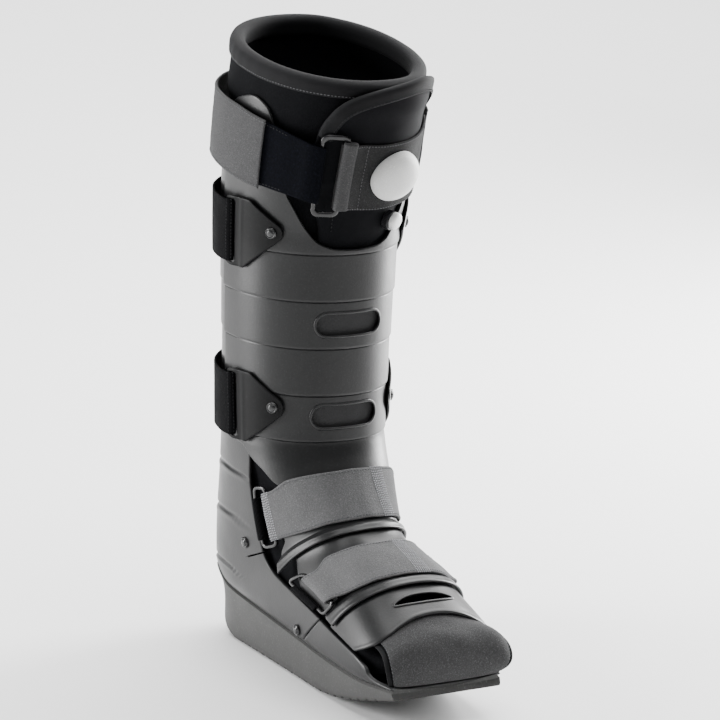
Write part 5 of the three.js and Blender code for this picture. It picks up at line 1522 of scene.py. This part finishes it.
def make_valve():
    sizes = bpy.context.scene.boot_sizes
    row, angle = VALVE_ROW, VALVE_ANGLE
    rings = standing(turned(VALVE_PROFILE), row, angle, GAP)
    obj = rings_piece("valve_body", rings, material("valve"), sharp=40)
    settle(obj, "valve", "valve_body", rides=VALVE)
    ridge = rings_piece("ridge", turned(curve_through(RIDGE_PROFILE, 0.4), 6), material("valve"))
    points, normal = standing(np.zeros((1, 3)), row, angle, GAP)[0], outward(row, angle)
    spots = []
    for turn in full_turn(sizes.valve_ridges):
        out = np.array([math.cos(turn) * RIDGE_REACH, math.sin(turn) * RIDGE_REACH, 0.25])
        place = standing(out[None], row, angle, GAP)[0]
        spots.append((place, normal, unit(place - points)))
    settle(strew("valve_ridges", spots, ridge, "valve"), "valve", rides=VALVE)
    rings = standing(turned(curve_through(CAP_PROFILE, 0.45)), row, angle, 5.5 + GAP * 2)
    settle(rings_piece("valve_cap", rings, material("cap")), "valve_cap", "valve_cap", rides=VALVE)


# The stage

WORLD_STRENGTH, FLOOR_HEIGHT, FLOOR_REACH = 0.24, -0.0006, 6
# Area lights: place, size, power and the point that each one faces
LIGHTS = {
    "left": ((-1.55, 0.8, 0.5), (0.6, 1.2), 58, (0.0, 0.0, 0.22)),
    "right": ((1.55, 0.3, 0.6), (0.6, 1.2), 92, (0.0, 0.0, 0.22)),
    "top": ((0.1, 0.0, 2.3), (2.2, 2.2), 84, (0.0, 0.0, 0.22)),
    "behind": ((1.5, 2.4, 2.4), (3.0, 3.0), 230, (1.5, 2.4, 0.0)),
}
# The camera's turn, rise and roll in degrees, its lens in millimetres, its aim, drop and distance in metres
CAMERA_TURNS, CAMERA_LENS = (32.0, 14.63, 2.91), 209.5
CAMERA_AIM, CAMERA_DROP, CAMERA_DISTANCE = (0, -0.005, 0.247), 0.008, 3.094


def area_light(name, place, size, power, aim):
    light = bpy.data.lights.new(name, "AREA")
    light.shape = "RECTANGLE"
    light.size, light.size_y = size
    light.energy = power
    obj = bpy.data.objects.new(name, light)
    bpy.context.scene.collection.objects.link(obj)
    obj.location = place
    obj.rotation_euler = (Vector(aim) - Vector(place)).to_track_quat("-Z", "Y").to_euler()


def make_stage():
    scene = bpy.context.scene
    world = bpy.data.worlds.new("studio")
    scene.world = world
    world.use_nodes = True
    background = next(node for node in world.node_tree.nodes if node.type == "BACKGROUND")
    background.inputs["Color"].default_value = (1.0, 1.0, 1.0, 1.0)
    background.inputs["Strength"].default_value = WORLD_STRENGTH
    finish = Finish("pale_floor", roughness=0.9, specular_ior_level=0.1)
    tone = finish.noise(3.0, 3.0)
    finish.give("Base Color", tone.blend((0.84, 0.84, 0.84, 1), (0.87, 0.87, 0.87, 1)))
    mesh = bpy.data.meshes.new("floor")
    signs = ((-1, -1), (1, -1), (1, 1), (-1, 1))
    corners = [(x * FLOOR_REACH, y * FLOOR_REACH, FLOOR_HEIGHT) for x, y in signs]
    mesh.from_pydata(corners, [], [(0, 1, 2, 3)])
    mesh.materials.append(finish.material)
    floor = bpy.data.objects.new("floor", mesh)
    scene.collection.objects.link(floor)
    for name, values in LIGHTS.items():
        area_light(name, *values)

    turn, rise, roll = (math.radians(angle) for angle in CAMERA_TURNS)
    back = Vector((-math.sin(turn) * math.cos(rise), -math.cos(turn) * math.cos(rise), math.sin(rise)))
    level = Vector((math.cos(turn), -math.sin(turn), 0))
    up = back.cross(level)
    right = level * math.cos(roll) + up * math.sin(roll)
    top = up * math.cos(roll) - level * math.sin(roll)
    camera = bpy.data.cameras.new("camera")
    camera.lens, camera.sensor_width = CAMERA_LENS, 36.0
    camera.clip_start, camera.clip_end = 0.05, 50.0
    obj = bpy.data.objects.new("camera", camera)
    scene.collection.objects.link(obj)
    place = Vector(CAMERA_AIM) - up * CAMERA_DROP + back * CAMERA_DISTANCE
    obj.matrix_world = Matrix([(right[k], top[k], back[k], place[k]) for k in range(3)] + [(0, 0, 0, 1)])
    scene.camera = obj


# Sizes and colours of the panel

def colour(name, description, value):
    return FloatVectorProperty(name=name, description=description, default=value, size=4, min=0, max=1,
                               subtype="COLOR")


def length(name, description, value):
    return FloatProperty(name=name, description=description, default=value, unit="LENGTH")


class BootSizes(PropertyGroup):
    """Sizes of the repeated details."""

    stitch_spacing: length("Stitch spacing", "From one stitch to the next", 0.0026)
    stitch_length: length("Stitch length", "Length of one stitch", 0.0019)
    stitch_width: length("Stitch width", "Width of one stitch", 0.0008)
    stitch_height: length("Stitch height", "Height of one stitch", 0.0006)
    tread_pitch: length("Tread pitch", "From one groove of the sole to the next", 0.011)
    tread_groove: length("Tread groove", "Width of one groove of the sole", 0.003)
    valve_ridges: IntProperty(name="Valve ridges", description="Number of grip ridges round the valve",
                              default=36, min=8, max=60)


class BootColours(PropertyGroup):
    """Colours of the boot's finishes."""

    shell: colour("Shell", "Moulded plastic of the shells and plates", (0.0072, 0.0074, 0.0077, 1))
    sole: colour("Sole", "Rubber of the sole", (0.037, 0.037, 0.036, 1))
    liner: colour("Liner", "Knitted cloth of the liner", (0.0030, 0.0032, 0.0040, 1))
    binding: colour("Binding", "Tape along the edges", (0.0036, 0.0037, 0.0043, 1))
    grey_strap: colour("Grey strap", "Grey loop straps", (0.055, 0.055, 0.056, 1))
    black_strap: colour("Black strap", "Black loop strap and webbing", (0.0014, 0.0017, 0.0032, 1))
    bracket: colour("Bracket", "Strap brackets", (0.0030, 0.0031, 0.0033, 1))
    rivet: colour("Rivet", "Rivet heads", (0.012, 0.0125, 0.013, 1))
    ring: colour("Ring", "Strap loops", (0.0035, 0.0035, 0.0040, 1))
    bulb: colour("Bulb", "Pump bulb", (0.62, 0.62, 0.61, 1))
    valve: colour("Valve", "Valve ring", (0.010, 0.010, 0.012, 1))
    cap: colour("Valve cap", "Valve cap", (0.80, 0.80, 0.79, 1))
    thread: colour("Thread", "Sewing thread", (0.075, 0.076, 0.080, 1))


# Operators: one for each piece or group of like pieces

class BOOT_OT_stage(Operator):
    """Make the floor, the lights and the camera"""

    bl_idname = "boot.stage"
    bl_label = "Stage"

    def execute(self, context):
        make_stage()
        return {"FINISHED"}


class BOOT_OT_front_shell(Operator):
    """Make the front shell with its bands and windows"""

    bl_idname = "boot.front_shell"
    bl_label = "Front shell"

    def execute(self, context):
        make_front_shell()
        return {"FINISHED"}


class BOOT_OT_rear_shell(Operator):
    """Make the rear shell from the calf to the toe"""

    bl_idname = "boot.rear_shell"
    bl_label = "Rear shell"

    def execute(self, context):
        make_rear_shell()
        return {"FINISHED"}


class BOOT_OT_outsole(Operator):
    """Make the rocker sole with its tread"""

    bl_idname = "boot.outsole"
    bl_label = "Outsole"

    def execute(self, context):
        make_outsole()
        return {"FINISHED"}


class BOOT_OT_plates(Operator):
    """Make the three plates over the foot"""

    bl_idname = "boot.plates"
    bl_label = "Foot plates"

    def execute(self, context):
        make_plates()
        return {"FINISHED"}


class BOOT_OT_liner(Operator):
    """Make the padded liner and its collar"""

    bl_idname = "boot.liner"
    bl_label = "Liner"

    def execute(self, context):
        make_liner()
        make_collar()
        return {"FINISHED"}


class BOOT_OT_flap(Operator):
    """Make the front flap and its bound edge"""

    bl_idname = "boot.flap"
    bl_label = "Front flap"

    def execute(self, context):
        make_flap()
        return {"FINISHED"}


class BOOT_OT_toe_cover(Operator):
    """Make the padded cover over the toes"""

    bl_idname = "boot.toe_cover"
    bl_label = "Toe cover"

    def execute(self, context):
        make_toe_cover()
        return {"FINISHED"}


class BOOT_OT_top_strap(Operator):
    """Make the top strap, its ring and the pad that carries the pump"""

    bl_idname = "boot.top_strap"
    bl_label = "Top strap"

    def execute(self, context):
        make_top_strap()
        return {"FINISHED"}


class BOOT_OT_pump(Operator):
    """Make the pump bulb and the valve"""

    bl_idname = "boot.pump"
    bl_label = "Pump and valve"

    def execute(self, context):
        make_bulb()
        make_valve()
        return {"FINISHED"}


class BOOT_OT_foot_straps(Operator):
    """Make the ankle and forefoot straps with their rings and tabs"""

    bl_idname = "boot.foot_straps"
    bl_label = "Foot straps"

    def execute(self, context):
        make_foot_straps()
        return {"FINISHED"}


class BOOT_OT_brackets(Operator):
    """Make the strap brackets and the straps behind the calf"""

    bl_idname = "boot.brackets"
    bl_label = "Brackets and calf straps"

    def execute(self, context):
        for level, centre in BRACKET_ROWS.items():
            make_calf_strap(level, centre)
            for side, name in SIDES:
                make_bracket(level, centre, name, side)
        return {"FINISHED"}


class BOOT_OT_rivets(Operator):
    """Make the rivets of the brackets and the shell's flaps"""

    bl_idname = "boot.rivets"
    bl_label = "Rivets"

    def execute(self, context):
        make_rivets()
        return {"FINISHED"}


STEPS = (BOOT_OT_stage, BOOT_OT_front_shell, BOOT_OT_rear_shell, BOOT_OT_outsole, BOOT_OT_plates,
         BOOT_OT_liner, BOOT_OT_flap, BOOT_OT_toe_cover, BOOT_OT_top_strap, BOOT_OT_pump,
         BOOT_OT_foot_straps, BOOT_OT_brackets, BOOT_OT_rivets)


class BOOT_PT_sidebar(Panel):
    """The boot's sizes, colours and pieces"""

    bl_label = "Walking boot"
    bl_idname = "BOOT_PT_sidebar"
    bl_space_type = "VIEW_3D"
    bl_region_type = "UI"
    bl_category = "Boot"

    def draw(self, context):
        scene = context.scene
        for group in (scene.boot_sizes, scene.boot_colours):
            column = self.layout.column(align=True)
            for name in group.__annotations__:
                column.prop(group, name)
        column = self.layout.column(align=True)
        for step in STEPS:
            column.operator(step.bl_idname)


CLASSES = (BootSizes, BootColours) + STEPS + (BOOT_PT_sidebar,)


def register():
    for each in CLASSES:
        bpy.utils.register_class(each)
    bpy.types.Scene.boot_sizes = PointerProperty(type=BootSizes)
    bpy.types.Scene.boot_colours = PointerProperty(type=BootColours)


def unregister():
    del bpy.types.Scene.boot_colours
    del bpy.types.Scene.boot_sizes
    for each in reversed(CLASSES):
        bpy.utils.unregister_class(each)


def main():
    register()
    bpy.ops.boot.stage()
    bpy.ops.boot.front_shell()
    bpy.ops.boot.rear_shell()
    bpy.ops.boot.outsole()
    bpy.ops.boot.plates()
    bpy.ops.boot.liner()
    bpy.ops.boot.flap()
    bpy.ops.boot.toe_cover()
    bpy.ops.boot.top_strap()
    bpy.ops.boot.pump()
    bpy.ops.boot.foot_straps()
    bpy.ops.boot.brackets()
    bpy.ops.boot.rivets()


if __name__ == "__main__":
    main()
